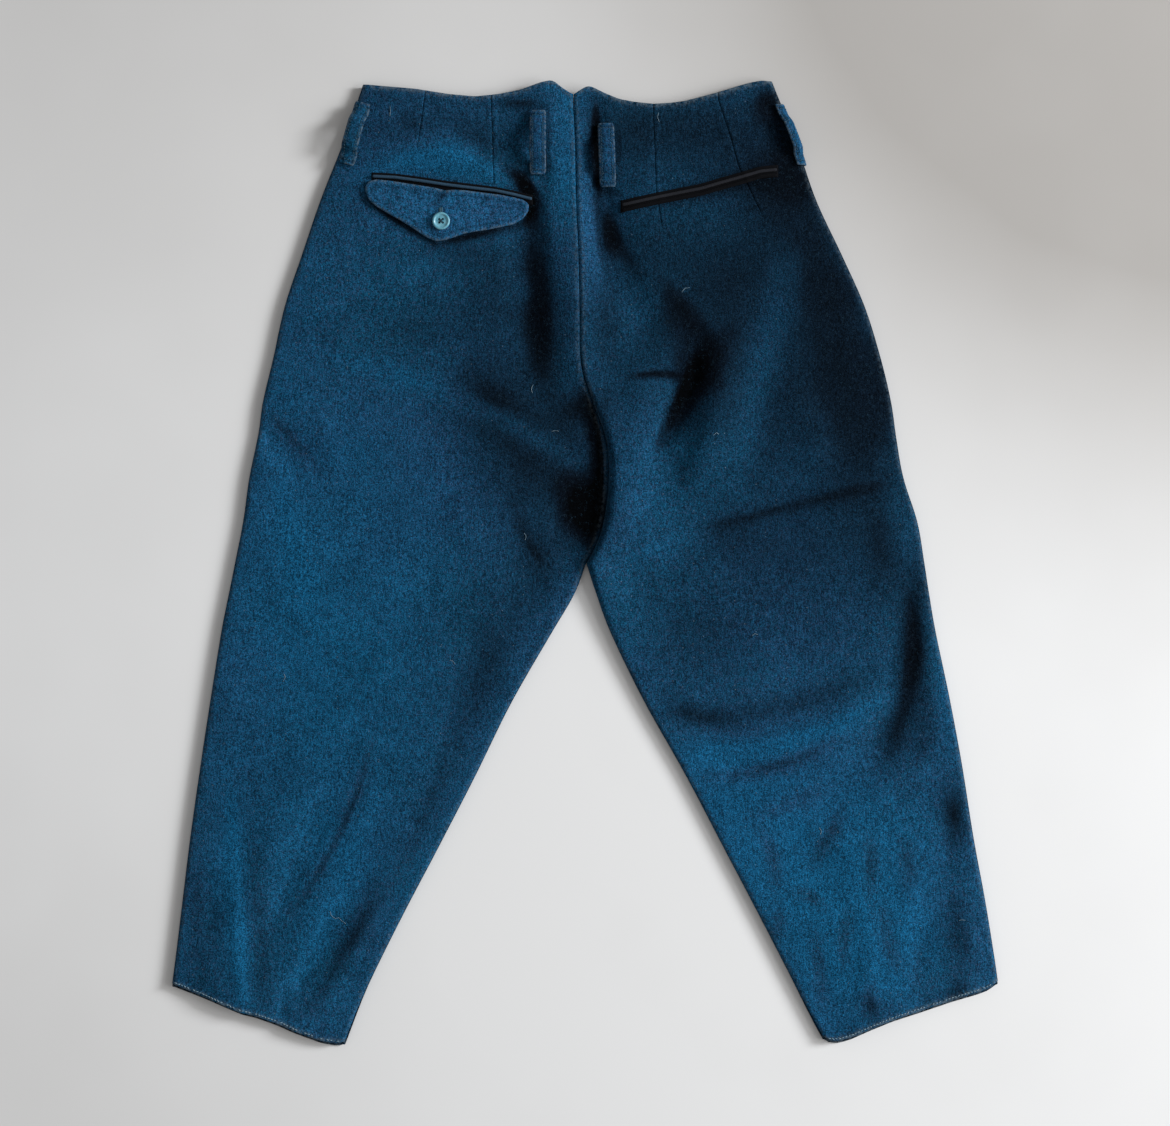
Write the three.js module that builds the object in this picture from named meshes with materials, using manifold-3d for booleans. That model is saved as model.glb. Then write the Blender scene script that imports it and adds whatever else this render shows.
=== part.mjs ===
import * as THREE from "three";
import { mergeVertices } from "three/addons/utils/BufferGeometryUtils.js";
import Module from "manifold-3d";

// Tapered wool trousers with a high grown-on waist, lying flat on their front with the seat up.
// Millimetres. +Z is up, +Y runs from the hems to the waist, and +X towards the wearer's right.
// The origin is on the surface that they lie on, under the middle of the garment.
// Each panel is a wall of cloth swept through sections. A section runs from the inner edge, which is
// the centre seam and below the fork the inseam, to the outer edge, which is the side seam.

// Driving dimensions
const cloth = 2.0; // thickness of the fulled wool
const seamGap = 0.3; // between two panels along a seam
const layGap = 0.5; // least gap between the back and the front where they lie on each other
const restGap = 0.45; // between a panel and what is sewn onto it
const edgeHeight = 7.0; // height of the rolled side edge and inseam
const edgeRoll = 4.5; // how far a rolled edge reaches in over the panel
const sideSpread = 28; // how far in from the side seam the cloth reaches the lay of the panel
const pleatDepth = 1.4; // how far the cloth steps in beside the fold of a front pleat
const pleatWidth = 24; // from the fold of a pleat to where the cloth is flat again
const frontDrop = 12; // how far the front's waist lies below the back's at the centre
const hemLap = 2.8; // how far the front's hem shows beyond the back's
const loopWidth = 12.5;
const loopCloth = 2.2; // a belt loop is folded and pressed
const loopLift = 5.4; // of the middle of a belt loop above its ends
const loopFoot = 8; // sewn length at each end of a belt loop
const loopRise = 9; // length over which a belt loop leaves the panel
const flapCloth = 2.4;
const weltCloth = 1.8;
const buttonAcross = 15.4;
const buttonThick = 2.8;
const buttonHole = 1.9;
const buttonHoles = 3.1; // between neighbouring holes

const half = cloth / 2;
const seamLevel = edgeHeight / 2; // height of the side seam and the inseam

const colours = {
  wool: 0x15405a,
  welt: 0x23222a,
  button: 0x86aab6,
};

// A table's rows, each with the named columns.
const table = (columns, ...rows) =>
  rows.map((row) => Object.fromEntries(columns.map((name, i) => [name, row[i]])));

// ---- sections ----
// x and y place a seam. level is the height of the wall's middle there, crest its height just past
// the seam, and spread how far in the crest fades to the lay of the panel. lean is 0 where the wall
// lies flat at the seam and 1 where it stands upright.
const centreSeam = table(
  ["x", "y", "level", "crestLeft", "crestRight", "spread", "leanRight"],
  [-10, 407, 8.6, 8.6, 8.6, 20, 0],
  [-8, 363, 10.0, 10.0, 10.0, 20, 0],
  [-7, 316, 11.5, 11.5, 11.5, 19, 0],
  [-5, 269, 12.5, 12.5, 12.5, 18, 0],
  [-4, 222, 12.5, 12.5, 12.5, 18, 0],
  [-3, 175, 10.5, 10.5, 10.8, 18, 0],
  [6, 142, 7.5, 7.5, 12.0, 20, 0.7],
  [18, 107, 5.4, 5.4, 14.0, 22, 1],
  [20, 69, 4.9, 4.9, 15.0, 24, 1],
  [14, 29, 4.8, 5.0, 14.5, 24, 1],
  [1, 0, 4.8, 5.4, 12.5, 24, 1],
);
const forkRow = centreSeam.length - 1;
const inseamLeft = table(
  ["x", "y", "level", "crest", "spread", "lean"],
  [1, 0, 4.8, 5.4, 24, 0],
  [-9, -27, seamLevel, 5.6, 26, 1],
  [-30, -63, seamLevel, 6.0, 30, 1],
  [-64, -122, seamLevel, 6.0, 30, 1],
  [-95, -185, seamLevel, 6.0, 30, 1],
  [-128, -249, seamLevel, 6.0, 30, 1],
  [-160, -310, seamLevel, 6.0, 30, 1],
  [-190, -371, seamLevel, 6.0, 30, 1],
  [-208.5, -415.5, seamLevel, 6.0, 30, 1],
);
const inseamRight = table(
  ["x", "y", "level", "crest", "spread", "lean"],
  [1, 0, 4.8, 12.5, 24, 1],
  [9.5, -27, seamLevel, 9.5, 26, 1],
  [23, -63, seamLevel, 7.4, 30, 1],
  [52, -122, seamLevel, 6.4, 30, 1],
  [87.5, -185, seamLevel, 6.0, 30, 1],
  [121, -249, seamLevel, 6.0, 30, 1],
  [153, -310, seamLevel, 6.0, 30, 1],
  [184.5, -371, seamLevel, 6.0, 30, 1],
  [206.5, -410.5, seamLevel, 6.0, 30, 1],
);
// lay is the height of the wall's middle across a back panel, where no fold lifts it.
const sideLeft = table(
  ["x", "y", "lay"],
  [-194, 416.5, 8.4],
  [-211, 367, 8.2],
  [-231, 316, 7.6],
  [-247, 269, 7.0],
  [-262, 224, 6.6],
  [-272, 179, 6.4],
  [-281, 141, 6.2],
  [-285, 113, 6.0],
  [-293, 74, 5.8],
  [-298, 38, 5.6],
  [-304, 7, 5.4],
  [-310, -23, 5.2],
  [-317, -58, 5.0],
  [-326, -114, 5.0],
  [-335, -173, 5.2],
  [-344, -236, 5.8],
  [-351, -293, 6.8],
  [-357, -342, 8.0],
  [-360, -365, 8.4],
);
const sideRight = table(
  ["x", "y", "lay"],
  [163.5, 420.5, 8.4],
  [184, 368, 8.2],
  [202, 316, 7.6],
  [224, 269, 7.0],
  [244, 224, 6.8],
  [258, 179, 7.0],
  [267, 141, 7.4],
  [272, 107, 7.4],
  [278, 74, 7.0],
  [290, 36, 6.4],
  [296, 1, 5.8],
  [300, -25, 5.4],
  [306, -60, 5.2],
  [318, -117, 5.2],
  [329, -176, 5.2],
  [339, -239, 5.8],
  [349, -293, 6.8],
  [357, -342, 8.0],
  [360, -362.5, 8.4],
);

// How far the waists and the hems depart from a straight line between their corners. share runs from
// the inner edge (0) to the outer edge (1), and rise is along +Y.
const waistLeft = table(
  ["share", "rise"],
  [0, 0], [0.05, 5], [0.1, 12], [0.16, 9], [0.25, 2], [0.36, -3], [0.47, -6], [0.6, -5], [0.75, -2], [1, 0],
);
const waistRight = table(
  ["share", "rise"],
  [0, 0], [0.035, 4], [0.075, 7], [0.115, 3.5], [0.155, -0.6], [0.23, -7], [0.31, -10.6], [0.4, -13.4],
  [0.5, -13.6], [0.56, -13], [0.64, -10.6], [0.72, -8], [0.8, -4.8], [0.88, -1.6], [0.95, 0], [1, -1.5],
);
const waistFront = table(["share", "rise"], [0, 0], [0.25, -7], [0.5, -13], [0.75, -8], [1, -1]);
const hemLeft = table(
  ["share", "rise"],
  [0, 0], [0.03, -3.7], [0.13, -6.4], [0.29, -5.8], [0.4, -3.9], [0.52, -3.6], [0.6, -4.8], [0.69, -3.6],
  [0.81, -1.7], [1, 0],
);
const hemRight = table(
  ["share", "rise"],
  [0, 0], [0.03, -6], [0.09, -8.8], [0.16, -9.1], [0.26, -7], [0.4, -4.9], [0.55, -4.7], [0.74, -3.9],
  [0.9, -4.4], [0.96, -3.6], [1, 0],
);
const edgeReach = 55; // how far in from the waist and the hem their outline bends the sections

// The large folds of the back. Each follows a curve from its start through a bend to its end, and
// fades across its width. A positive height is a ridge and a negative one a trough.
const folds = table(
  ["about", "x1", "y1", "bendX", "bendY", "x2", "y2", "width", "height"],
  ["left seat valley", -34, 350, -66, 262, -42, 140, 19, -3.2],
  ["right seat valley", 18, 330, 22, 262, 54, 190, 16, -3.0],
  ["ridge over the left pocket", -165, 352, -110, 352, -56, 346, 14, 1.6],
  ["fork fold", 96, 184, 86, 134, 54, 70, 15, -6.0],
  ["inner side of the fork fold", 46, 170, 56, 110, 44, 20, 20, 3.0],
  ["outer side of the fork fold", 122, 196, 122, 120, 92, 50, 19, 4.6],
  ["right thigh valley", 70, 36, 130, 34, 210, 66, 22, -2.0],
  ["right thigh ridge", 90, 88, 140, 84, 222, 128, 24, 2.0],
  ["left thigh ridge", -74, 120, -100, 40, -66, -60, 36, 2.6],
  ["left side dent", -272, 112, -258, 104, -232, 78, 15, -1.8],
  ["left side ridge", -262, 152, -248, 138, -214, 104, 17, 1.8],
  ["left calf valley", -207, -165, -232, -250, -285, -345, 15, -2.4],
  ["left calf ridge", -250, -180, -270, -250, -304, -330, 18, 2.2],
  ["left hem valley", -192, -275, -226, -330, -262, -396, 14, -3.0],
  ["left hem ridge", -322, -260, -318, -320, -312, -400, 15, 1.8],
  ["right side valley", 280, -24, 282, -90, 262, -150, 16, -1.8],
  ["right knee valley", 112, -150, 170, -130, 258, -96, 20, -1.8],
  ["right knee ridge", 92, -172, 160, -174, 240, -152, 24, 2.0],
  ["right calf valley", 258, -152, 244, -190, 198, -228, 19, -1.8],
  ["right hem valley", 318, -240, 306, -300, 296, -374, 16, -2.2],
  ["right hem ridge", 230, -270, 242, -330, 254, -404, 20, 1.6],
);
const foldSteps = 10; // straight stretches that a fold's curve is measured in
const foldMargin = 13; // folds die out towards the panel's edges over this length

// Points of a section: by angle in a rolled edge and by share of the panel between the edges.
const rollAngles = [0, 30, 60, 90];
const backShares = [0.035, 0.075, 0.12, 0.17, 0.23, 0.3, 0.38, 0.46, 0.55, 0.64, 0.73, 0.82, 0.9, 0.96];
const frontShares = [0.12, 0.24, 0.36, 0.366, 0.42, 0.48, 0.6, 0.606, 0.66, 0.72, 0.86];
const backSteps = 2; // sections of the mesh for each row of the tables
const frontSteps = 1;

// The pleats of each front. share is where the fold runs, and length how far down the pleat opens.
const pleats = table(["share", "length"], [0.36, 200], [0.6, 170]);
const pleatLip = 0.006; // share of the panel over which the cloth turns in at the fold

// ---- small functions ----
const radians = (a) => (a * Math.PI) / 180;
const mix = (a, b, t) => a + (b - a) * t;
const clamp = (t) => Math.min(1, Math.max(0, t));
const smooth = (t) => clamp(t) ** 2 * (3 - 2 * clamp(t));
const fade = (d, width) => Math.exp(-((d / width) ** 2));
const softMax = (a, b, round) => b + round * Math.log1p(Math.exp((a - b) / round));

// A smooth curve through four values, read between the middle two.
function throughFour(a, b, c, d, t) {
  return b + 0.5 * t * (c - a + t * (2 * a - 5 * b + 4 * c - d + t * (3 * (b - c) + d - a)));
}

// A table's row at a fractional place, on a smooth curve through its rows.
function rowAt(rows, place) {
  const last = rows.length - 1;
  const i = Math.min(last - 1, Math.floor(place));
  const near = [i - 1, i, i + 1, i + 2].map((k) => rows[Math.min(last, Math.max(0, k))]);
  const valueOf = (name) => throughFour(...near.map((row) => row[name]), place - i);
  return Object.fromEntries(Object.keys(near[1]).map((name) => [name, valueOf(name)]));
}

// The rise of a waist or a hem at a share of the section.
function riseAt(rows, share) {
  const i = Math.max(1, rows.findIndex((row) => row.share >= share - 1e-9));
  const [a, b] = [rows[i - 1], rows[i]];
  return mix(a.rise, b.rise, (share - a.share) / (b.share - a.share));
}

// The height that a fold adds at a point, greatest along the middle of its curve.
function foldRise(fold, x, y) {
  const curve = (t, a, b, c) => mix(mix(a, b, t), mix(b, c, t), t);
  const point = (t) => [curve(t, fold.x1, fold.bendX, fold.x2), curve(t, fold.y1, fold.bendY, fold.y2)];
  let nearest = Infinity;
  let along = 0;
  for (let i = 0; i < foldSteps; i++) {
    const [ax, ay] = point(i / foldSteps);
    const [bx, by] = point((i + 1) / foldSteps);
    const t = clamp(((x - ax) * (bx - ax) + (y - ay) * (by - ay)) / ((bx - ax) ** 2 + (by - ay) ** 2));
    const distance = Math.hypot(x - mix(ax, bx, t), y - mix(ay, by, t));
    if (distance < nearest) {
      nearest = distance;
      along = (i + t) / foldSteps;
    }
  }
  return fold.height * fade(nearest, fold.width) * Math.sin(Math.PI * mix(0.1, 0.9, along));
}

// How far the pleats stand open at a distance below the waist, from 1 to 0.
const pleatOpen = (pleat, below) => 1 - smooth(below / pleat.length);

// ---- panels ----
// The height that an edge adds to the lay of a back panel: its roll, and then the fade of its crest.
function edgeRise(edge, lay, distance) {
  const turned = Math.sqrt(1 - (1 - clamp(distance / edge.roll)) ** 2);
  const rolled = mix(edge.level, edge.crest, turned) - edge.crest;
  return rolled + (edge.crest - lay) * fade(distance, edge.spread);
}

function backLevel(section, point) {
  const { inner, outer, lay } = section;
  let level = lay + edgeRise(inner, lay, point.fromInner) + edgeRise(outer, lay, point.fromOuter);
  const clear = (1 - fade(point.fromInner, foldMargin)) * (1 - fade(point.fromOuter, foldMargin));
  for (const fold of folds) level += clear * foldRise(fold, point.x, point.y);
  const lowest = cloth + layGap + half + pleatDepth * pleatOpen(pleats[0], point.below);
  return mix(level, softMax(level, lowest, 0.4), smooth(point.fromOuter / outer.roll));
}

// A front panel lies flat, turns up to its seams, and steps in beside the folds of its pleats.
function frontLevel(section, point) {
  const turnUp = (edge, d) => (edge.level - half) * (1 - Math.sqrt(1 - (1 - clamp(d / edge.roll)) ** 2));
  let level = half + turnUp(section.inner, point.fromInner) + turnUp(section.outer, point.fromOuter);
  for (const pleat of pleats) {
    const past = point.share - pleat.share;
    if (past <= 0) continue;
    const step = smooth(past / pleatLip) * (1 - smooth((past * section.width) / pleatWidth));
    level += pleatDepth * pleatOpen(pleat, point.below) * step;
  }
  return level;
}

// An edge's row, lifted by a gap as far as the edge stands upright.
const raised = (row, gap) => ({ ...row, level: row.level + gap * row.lean });

// The inner edge of a back panel at a place down the tables.
function backInner(inseam, crest, lean) {
  return (place) => {
    if (place > forkRow) return raised(rowAt(inseam, place - forkRow), seamGap / 2);
    const row = rowAt(centreSeam, place);
    return { ...row, crest: row[crest], lean: lean ? row[lean] : 0 };
  };
}

// The front's centre seam runs straight from its waist to the fork.
function frontInner(inseam) {
  const [waist, fork] = [centreSeam[0], centreSeam[forkRow]];
  return (place) => {
    const lean = clamp(place - forkRow);
    const level = mix(half, seamLevel - seamGap / 2, lean);
    if (place > forkRow) return { ...rowAt(inseam, place - forkRow), crest: level, level, lean };
    const t = place / forkRow;
    const [x, y] = [mix(waist.x, fork.x, t), mix(waist.y - frontDrop, fork.y, t)];
    return { x, y, crest: level, level, lean };
  };
}

// side is 1 towards +X, and up is -1 where the outside of the cloth faces down.
const backs = { up: 1, lap: 0, steps: backSteps, shares: backShares, levelAt: backLevel };
const fronts = { up: -1, lap: hemLap, steps: frontSteps, shares: frontShares, levelAt: frontLevel };
const left = { side: -1, outer: sideLeft, hem: hemLeft };
const right = { side: 1, outer: sideRight, hem: hemRight };
const backInnerLeft = backInner(inseamLeft, "crestLeft");
const backInnerRight = backInner(inseamRight, "crestRight", "leanRight");
const panels = {
  back_left: { ...backs, ...left, inner: backInnerLeft, waist: waistLeft },
  back_right: { ...backs, ...right, inner: backInnerRight, waist: waistRight },
  front_left: { ...fronts, ...left, inner: frontInner(inseamLeft), waist: waistFront },
  front_right: { ...fronts, ...right, inner: frontInner(inseamRight), waist: waistFront },
};

// A section of a panel: both edges, the direction across, and the width between the edges' walls.
function sectionAt(panel, place) {
  const { x, y, lay } = rowAt(panel.outer, place);
  const level = seamLevel + (panel.up * seamGap) / 2;
  const outer = { x, y, level, crest: edgeHeight - half, spread: sideSpread, lean: 1, roll: edgeRoll };
  const inner = panel.inner(place);
  inner.lean = clamp(inner.lean);
  inner.roll = Math.max(edgeRoll, 0.8 * (inner.crest - inner.level));
  const across = new THREE.Vector2(outer.x - inner.x, outer.y - inner.y);
  const length = across.length();
  across.divideScalar(length);
  const before = panel.inner(Math.max(0, place - 0.25));
  const after = panel.inner(Math.min(panel.outer.length - 1, place + 0.25));
  const along = new THREE.Vector2(after.x - before.x, after.y - before.y).normalize();
  const inset = (seamGap / 2 + half * inner.lean) / Math.abs(across.cross(along));
  const start = new THREE.Vector2(inner.x, inner.y).addScaledVector(across, inset);
  return { inner, outer, across, start, width: length - inset - half, lay };
}

// The middle of a panel's wall as rows of points, with the lean of each row's two edges.
function panelGrid(panel) {
  const last = panel.outer.length - 1;
  const [atWaist, atHem] = [sectionAt(panel, 0), sectionAt(panel, last)];
  const heightUp = (section, share) => section.start.y + section.across.y * section.width * share;
  const rows = [];
  for (let i = 0; i <= last * panel.steps; i++) {
    const section = sectionAt(panel, i / panel.steps);
    const { inner, outer, across, start, width } = section;
    const inRoll = (roll) => rollAngles.map((a) => roll * (1 - Math.cos(radians(a))));
    const between = panel.shares.map((share) => mix(inner.roll, width - outer.roll, share));
    const inOuterRoll = inRoll(outer.roll).reverse().map((d) => width - d);
    const places = [...inRoll(inner.roll), ...between, ...inOuterRoll];
    const points = places.map((d, j) => {
      const share = d / width;
      const x = start.x + across.x * d;
      let y = start.y + across.y * d;
      const below = heightUp(atWaist, share) - y;
      const above = y - heightUp(atHem, share);
      y += riseAt(panel.waist, share) * (1 - smooth(below / edgeReach));
      y += (riseAt(panel.hem, share) - panel.lap) * (1 - smooth(above / edgeReach));
      const column = panel.shares[j - rollAngles.length];
      const point = { x, y, below, share: column ?? share, fromInner: d, fromOuter: width - d };
      return new THREE.Vector3(x, y, panel.levelAt(section, point));
    });
    rows.push({ points, leans: [inner.lean, outer.lean] });
  }
  return rows;
}

// The normals of a grid of points, on the side that up points to.
function normalsOf(rows, up) {
  const last = rows.length - 1;
  return rows.map((row, i) =>
    row.map((_, j) => {
      const along = rows[Math.min(i + 1, last)][j].clone().sub(rows[Math.max(i - 1, 0)][j]);
      const across = row[Math.min(j + 1, row.length - 1)].clone().sub(row[Math.max(j - 1, 0)]);
      const normal = along.cross(across).normalize();
      return normal.dot(up) < 0 ? normal.negate() : normal;
    }),
  );
}

// At a seam the wall stands at the edge's lean, so that two panels meet edge to edge.
function turnEdges(panel, grid, normals) {
  const last = grid.length - 1;
  const columns = grid[0].points.length - 1;
  for (const [edge, j, outwards] of [[0, 0, -panel.side], [1, columns, panel.side]]) {
    grid.forEach((row, i) => {
      const [before, after] = [grid[Math.max(i - 1, 0)].points[j], grid[Math.min(i + 1, last)].points[j]];
      const along = after.clone().sub(before).normalize();
      const out = new THREE.Vector3(along.y, -along.x, 0).normalize();
      if (out.x * outwards < 0) out.negate();
      const up = new THREE.Vector3(0, 0, 1).addScaledVector(along, -along.z).normalize();
      const lean = row.leans[edge];
      normals[i][j] = out.multiplyScalar(lean).addScaledVector(up, panel.up * Math.sqrt(1 - lean ** 2));
    });
  }
}

// The same closed geometry with its faces pointing out.
function facingOut(geometry) {
  const position = geometry.getAttribute("position");
  const index = geometry.getIndex();
  const corner = (k) => new THREE.Vector3().fromBufferAttribute(position, index.getX(k));
  let volume = 0;
  for (let k = 0; k < index.count; k += 3) volume += corner(k).dot(corner(k + 1).cross(corner(k + 2)));
  for (let k = 0; volume < 0 && k < index.count; k += 3) {
    const [b, c] = [index.getX(k + 1), index.getX(k + 2)];
    index.setX(k + 1, c);
    index.setX(k + 2, b);
  }
  geometry.computeVertexNormals();
  return geometry;
}

// A closed wall from a grid of points on its middle, by moving them along the normals both ways.
function wallFrom(rows, normals, thick) {
  const [n, m] = [rows.length, rows[0].length];
  const position = [];
  for (const side of [0.5, -0.5]) {
    const moved = (point, i, j) => point.clone().addScaledVector(normals[i][j], side * thick);
    rows.forEach((row, i) => row.forEach((point, j) => position.push(...moved(point, i, j).toArray())));
  }
  const at = (side, i, j) => (side * n + i) * m + j;
  const index = [];
  const quad = (a, b, c, d) => index.push(a, b, c, a, c, d);
  for (let i = 0; i < n - 1; i++) {
    for (let j = 0; j < m - 1; j++) {
      quad(at(0, i, j), at(0, i + 1, j), at(0, i + 1, j + 1), at(0, i, j + 1));
      quad(at(1, i, j), at(1, i, j + 1), at(1, i + 1, j + 1), at(1, i + 1, j));
    }
    quad(at(0, i, 0), at(1, i, 0), at(1, i + 1, 0), at(0, i + 1, 0));
    quad(at(0, i, m - 1), at(0, i + 1, m - 1), at(1, i + 1, m - 1), at(1, i, m - 1));
  }
  for (let j = 0; j < m - 1; j++) {
    quad(at(0, 0, j), at(0, 0, j + 1), at(1, 0, j + 1), at(1, 0, j));
    quad(at(0, n - 1, j), at(1, n - 1, j), at(1, n - 1, j + 1), at(0, n - 1, j + 1));
  }
  const geometry = new THREE.BufferGeometry();
  geometry.setAttribute("position", new THREE.Float32BufferAttribute(position, 3));
  geometry.setIndex(index);
  return facingOut(geometry);
}

// The outer face of a wall, as rows of points.
const faceOf = (rows, normals, thick) =>
  rows.map((row, i) => row.map((point, j) => point.clone().addScaledVector(normals[i][j], thick / 2)));

function makePanel(panel) {
  const grid = panelGrid(panel);
  const rows = grid.map((row) => row.points);
  const normals = normalsOf(rows, new THREE.Vector3(0, 0, panel.up));
  turnEdges(panel, grid, normals);
  return { geometry: wallFrom(rows, normals, cloth), face: faceOf(rows, normals, cloth) };
}

const made = Object.fromEntries(Object.entries(panels).map(([name, panel]) => [name, makePanel(panel)]));
const backLeft = made.back_left.face;
const backRight = made.back_right.face;

// ---- what is sewn onto the back ----
// The height of a face at a point, or -Infinity beside it.
function heightAt(face, x, y) {
  let height = -Infinity;
  const test = (a, b, c) => {
    const area = (b.x - a.x) * (c.y - a.y) - (c.x - a.x) * (b.y - a.y);
    const s = ((x - a.x) * (c.y - a.y) - (c.x - a.x) * (y - a.y)) / area;
    const t = ((b.x - a.x) * (y - a.y) - (x - a.x) * (b.y - a.y)) / area;
    if (s < 0 || t < 0 || s + t > 1) return;
    height = Math.max(height, a.z + s * (b.z - a.z) + t * (c.z - a.z));
  };
  for (let i = 0; i < face.length - 1; i++) {
    for (let j = 0; j < face[i].length - 1; j++) {
      test(face[i][j], face[i + 1][j], face[i + 1][j + 1]);
      test(face[i][j], face[i + 1][j + 1], face[i][j + 1]);
    }
  }
  return height;
}

// The highest that a face comes within a short reach of a point.
function heightOver(face, x, y, reach) {
  const around = [[0, 0], [reach, 0], [-reach, 0], [0, reach], [0, -reach]];
  return Math.max(...around.map(([dx, dy]) => heightAt(face, x + dx, y + dy)));
}

// A sewn-on piece whose grid of places is laid over a panel's face.
function layOn(face, grid, thick) {
  const lift = restGap + thick / 2;
  const laid = ([x, y]) => new THREE.Vector3(x, y, heightOver(face, x, y, 2.5) + lift);
  const rows = grid.map((row) => row.map(laid));
  const normals = normalsOf(rows, new THREE.Vector3(0, 0, 1));
  return { geometry: wallFrom(rows, normals, thick), face: faceOf(rows, normals, thick) };
}

// The mouths of the two back pockets, as lines on the back.
const mouthLeft = table(
  ["x", "y"],
  [-184, 337.5], [-165, 336.5], [-143, 333.5], [-120, 330], [-99, 327.5], [-78, 325], [-62, 321.8],
  [-47, 318],
);
const mouthRight = table(
  ["x", "y"],
  [33, 311], [49, 314.5], [65, 318], [82, 321.5], [100, 325], [117, 330], [135, 335], [152, 340],
  [166, 341.5],
);

// The welts along them. offset is from the line of the mouth.
const welts = {
  welt_left: { face: backLeft, line: mouthLeft, offset: 0, width: 4 },
  welt_right_upper: { face: backRight, line: mouthRight, offset: 2.4, width: 4 },
  welt_right_lower: { face: backRight, line: mouthRight, offset: -3.2, width: 2.4 },
};

function makeWelt({ face, line, offset, width }) {
  const grid = line.map(({ x, y }) => [-0.5, 0, 0.5].map((s) => [x, y + offset + s * width]));
  return layOn(face, grid, weltCloth).geometry;
}

// The flap of the left pocket hangs from under its welt. top and bottom are its edges at each x.
const flapLeft = table(
  ["x", "top", "bottom"],
  [-190, 328.5, 321.5],
  [-187, 332.5, 316],
  [-181, 334.4, 311],
  [-171, 333.9, 305],
  [-161, 332.9, 299.5],
  [-152, 331.8, 294],
  [-144, 330.6, 288.5],
  [-137, 329.6, 284],
  [-130, 328.6, 281],
  [-122, 327.3, 282],
  [-114, 326.3, 284.5],
  [-106, 325.3, 287.5],
  [-98, 324.4, 289],
  [-88, 323.2, 290.5],
  [-75, 321.5, 293],
  [-62, 318.8, 296],
  [-54, 316.2, 301],
  [-50, 313, 306],
);
const flapShares = [0, 0.33, 0.66, 1];
const flapGrid = flapLeft.map(({ x, top, bottom }) => flapShares.map((s) => [x, mix(top, bottom, s)]));
const flap = layOn(backLeft, flapGrid, flapCloth);

// A belt loop lies on the panel at both ends and stands off between them, along its lift.
const loopPlaces = [0, 4, 8, 11, 14, 17, 22, 27, 32, 37, 40, 43, 46, 50, 54];
const loopLength = 54;

function makeLoop({ face, from, to, lift, section }) {
  const direction = new THREE.Vector2(to[0] - from[0], to[1] - from[1]).normalize();
  const rows = loopPlaces.map((s) => {
    const [x, y] = [from[0] + direction.x * s, from[1] + direction.y * s];
    const off = loopLift * smooth((Math.min(s, loopLength - s) - loopFoot) / loopRise);
    return section(face, x, y, direction).map((point) => point.addScaledVector(lift, off));
  });
  return wallFrom(rows, normalsOf(rows, lift), loopCloth);
}

// Flat across its width, clear of the highest place under it.
function flatSection(face, x, y, direction) {
  const placeAt = (aside) => [x + direction.y * aside, y - direction.x * aside];
  const places = [-loopWidth / 2, 0, loopWidth / 2].map(placeAt);
  const top = Math.max(...places.map(([px, py]) => heightOver(face, px, py, 1.5)));
  return places.map(([px, py]) => new THREE.Vector3(px, py, top + restGap + loopCloth / 2));
}

// Wrapped round the side seam, from the back's face to beside the front. out is beyond the edge.
const wrap = table(["out", "up"], [-5, 9.2], [-1.4, 8.8], [1.1, 6.8], [1.85, 4.1], [1.85, 1.4]);

function wrappedSection(face, x, y) {
  const edge = face.map((row) => row[row.length - 1]);
  const i = edge.findIndex((point) => point.y <= y);
  const edgeX = mix(edge[i - 1].x, edge[i].x, (y - edge[i - 1].y) / (edge[i].y - edge[i - 1].y));
  return wrap.map(({ out, up }) => new THREE.Vector3(edgeX + out, y, up));
}

const upwards = new THREE.Vector3(0, 0, 1);
const leftwards = new THREE.Vector3(-0.2, 0, 1).normalize();
const rightwards = new THREE.Vector3(0.25, 0, 1).normalize();
const onLeft = { face: backLeft, section: flatSection };
const onRight = { face: backRight, section: flatSection };
const roundRight = { face: backRight, section: wrappedSection };
const loops = {
  belt_loop_centre_left: { ...onLeft, from: [-41, 393], to: [-41, 339], lift: upwards },
  belt_loop_centre_right: { ...onRight, from: [18, 382], to: [20, 328], lift: upwards },
  belt_loop_side_left: { ...onLeft, from: [-193, 400], to: [-207.5, 348], lift: leftwards },
  belt_loop_side_right: { ...roundRight, from: [170, 399], to: [186, 347], lift: rightwards },
};

// ---- button ----
// A turned disc with a rim and a shallow dish, and four holes for the thread.
async function makeButton() {
  const wasm = await Module();
  wasm.setup();
  const [r, t] = [buttonAcross / 2, buttonThick];
  const profile = table(
    ["out", "up"],
    [0, 0], [r - 1.6, 0], [r - 0.5, 0.5], [r, 1.3], [r - 0.3, t - 0.4], [r - 1.1, t], [r - 1.9, t - 0.3],
    [r - 2.6, t - 0.9], [0, t - 1.0],
  );
  const solidOf = (geometry) => {
    geometry.deleteAttribute("normal");
    geometry.deleteAttribute("uv");
    const merged = facingOut(mergeVertices(geometry, 1e-4));
    const vertProperties = new Float32Array(merged.getAttribute("position").array);
    const triVerts = new Uint32Array(merged.getIndex().array);
    return new wasm.Manifold(new wasm.Mesh({ numProp: 3, vertProperties, triVerts }));
  };
  const disc = new THREE.LatheGeometry(profile.map(({ out, up }) => new THREE.Vector2(out, up)), 32);
  let button = solidOf(disc.rotateX(Math.PI / 2));
  for (const [x, y] of [[-0.5, -0.5], [0.5, -0.5], [0.5, 0.5], [-0.5, 0.5]]) {
    const drill = new THREE.CylinderGeometry(buttonHole / 2, buttonHole / 2, 3 * t, 12);
    drill.rotateX(Math.PI / 2).translate(x * buttonHoles, y * buttonHoles, t / 2);
    button = button.subtract(solidOf(drill));
  }
  const mesh = button.getMesh();
  const geometry = new THREE.BufferGeometry();
  geometry.setAttribute("position", new THREE.Float32BufferAttribute(mesh.vertProperties, 3));
  geometry.setIndex([...mesh.triVerts]);
  return facingOut(geometry);
}

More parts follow.
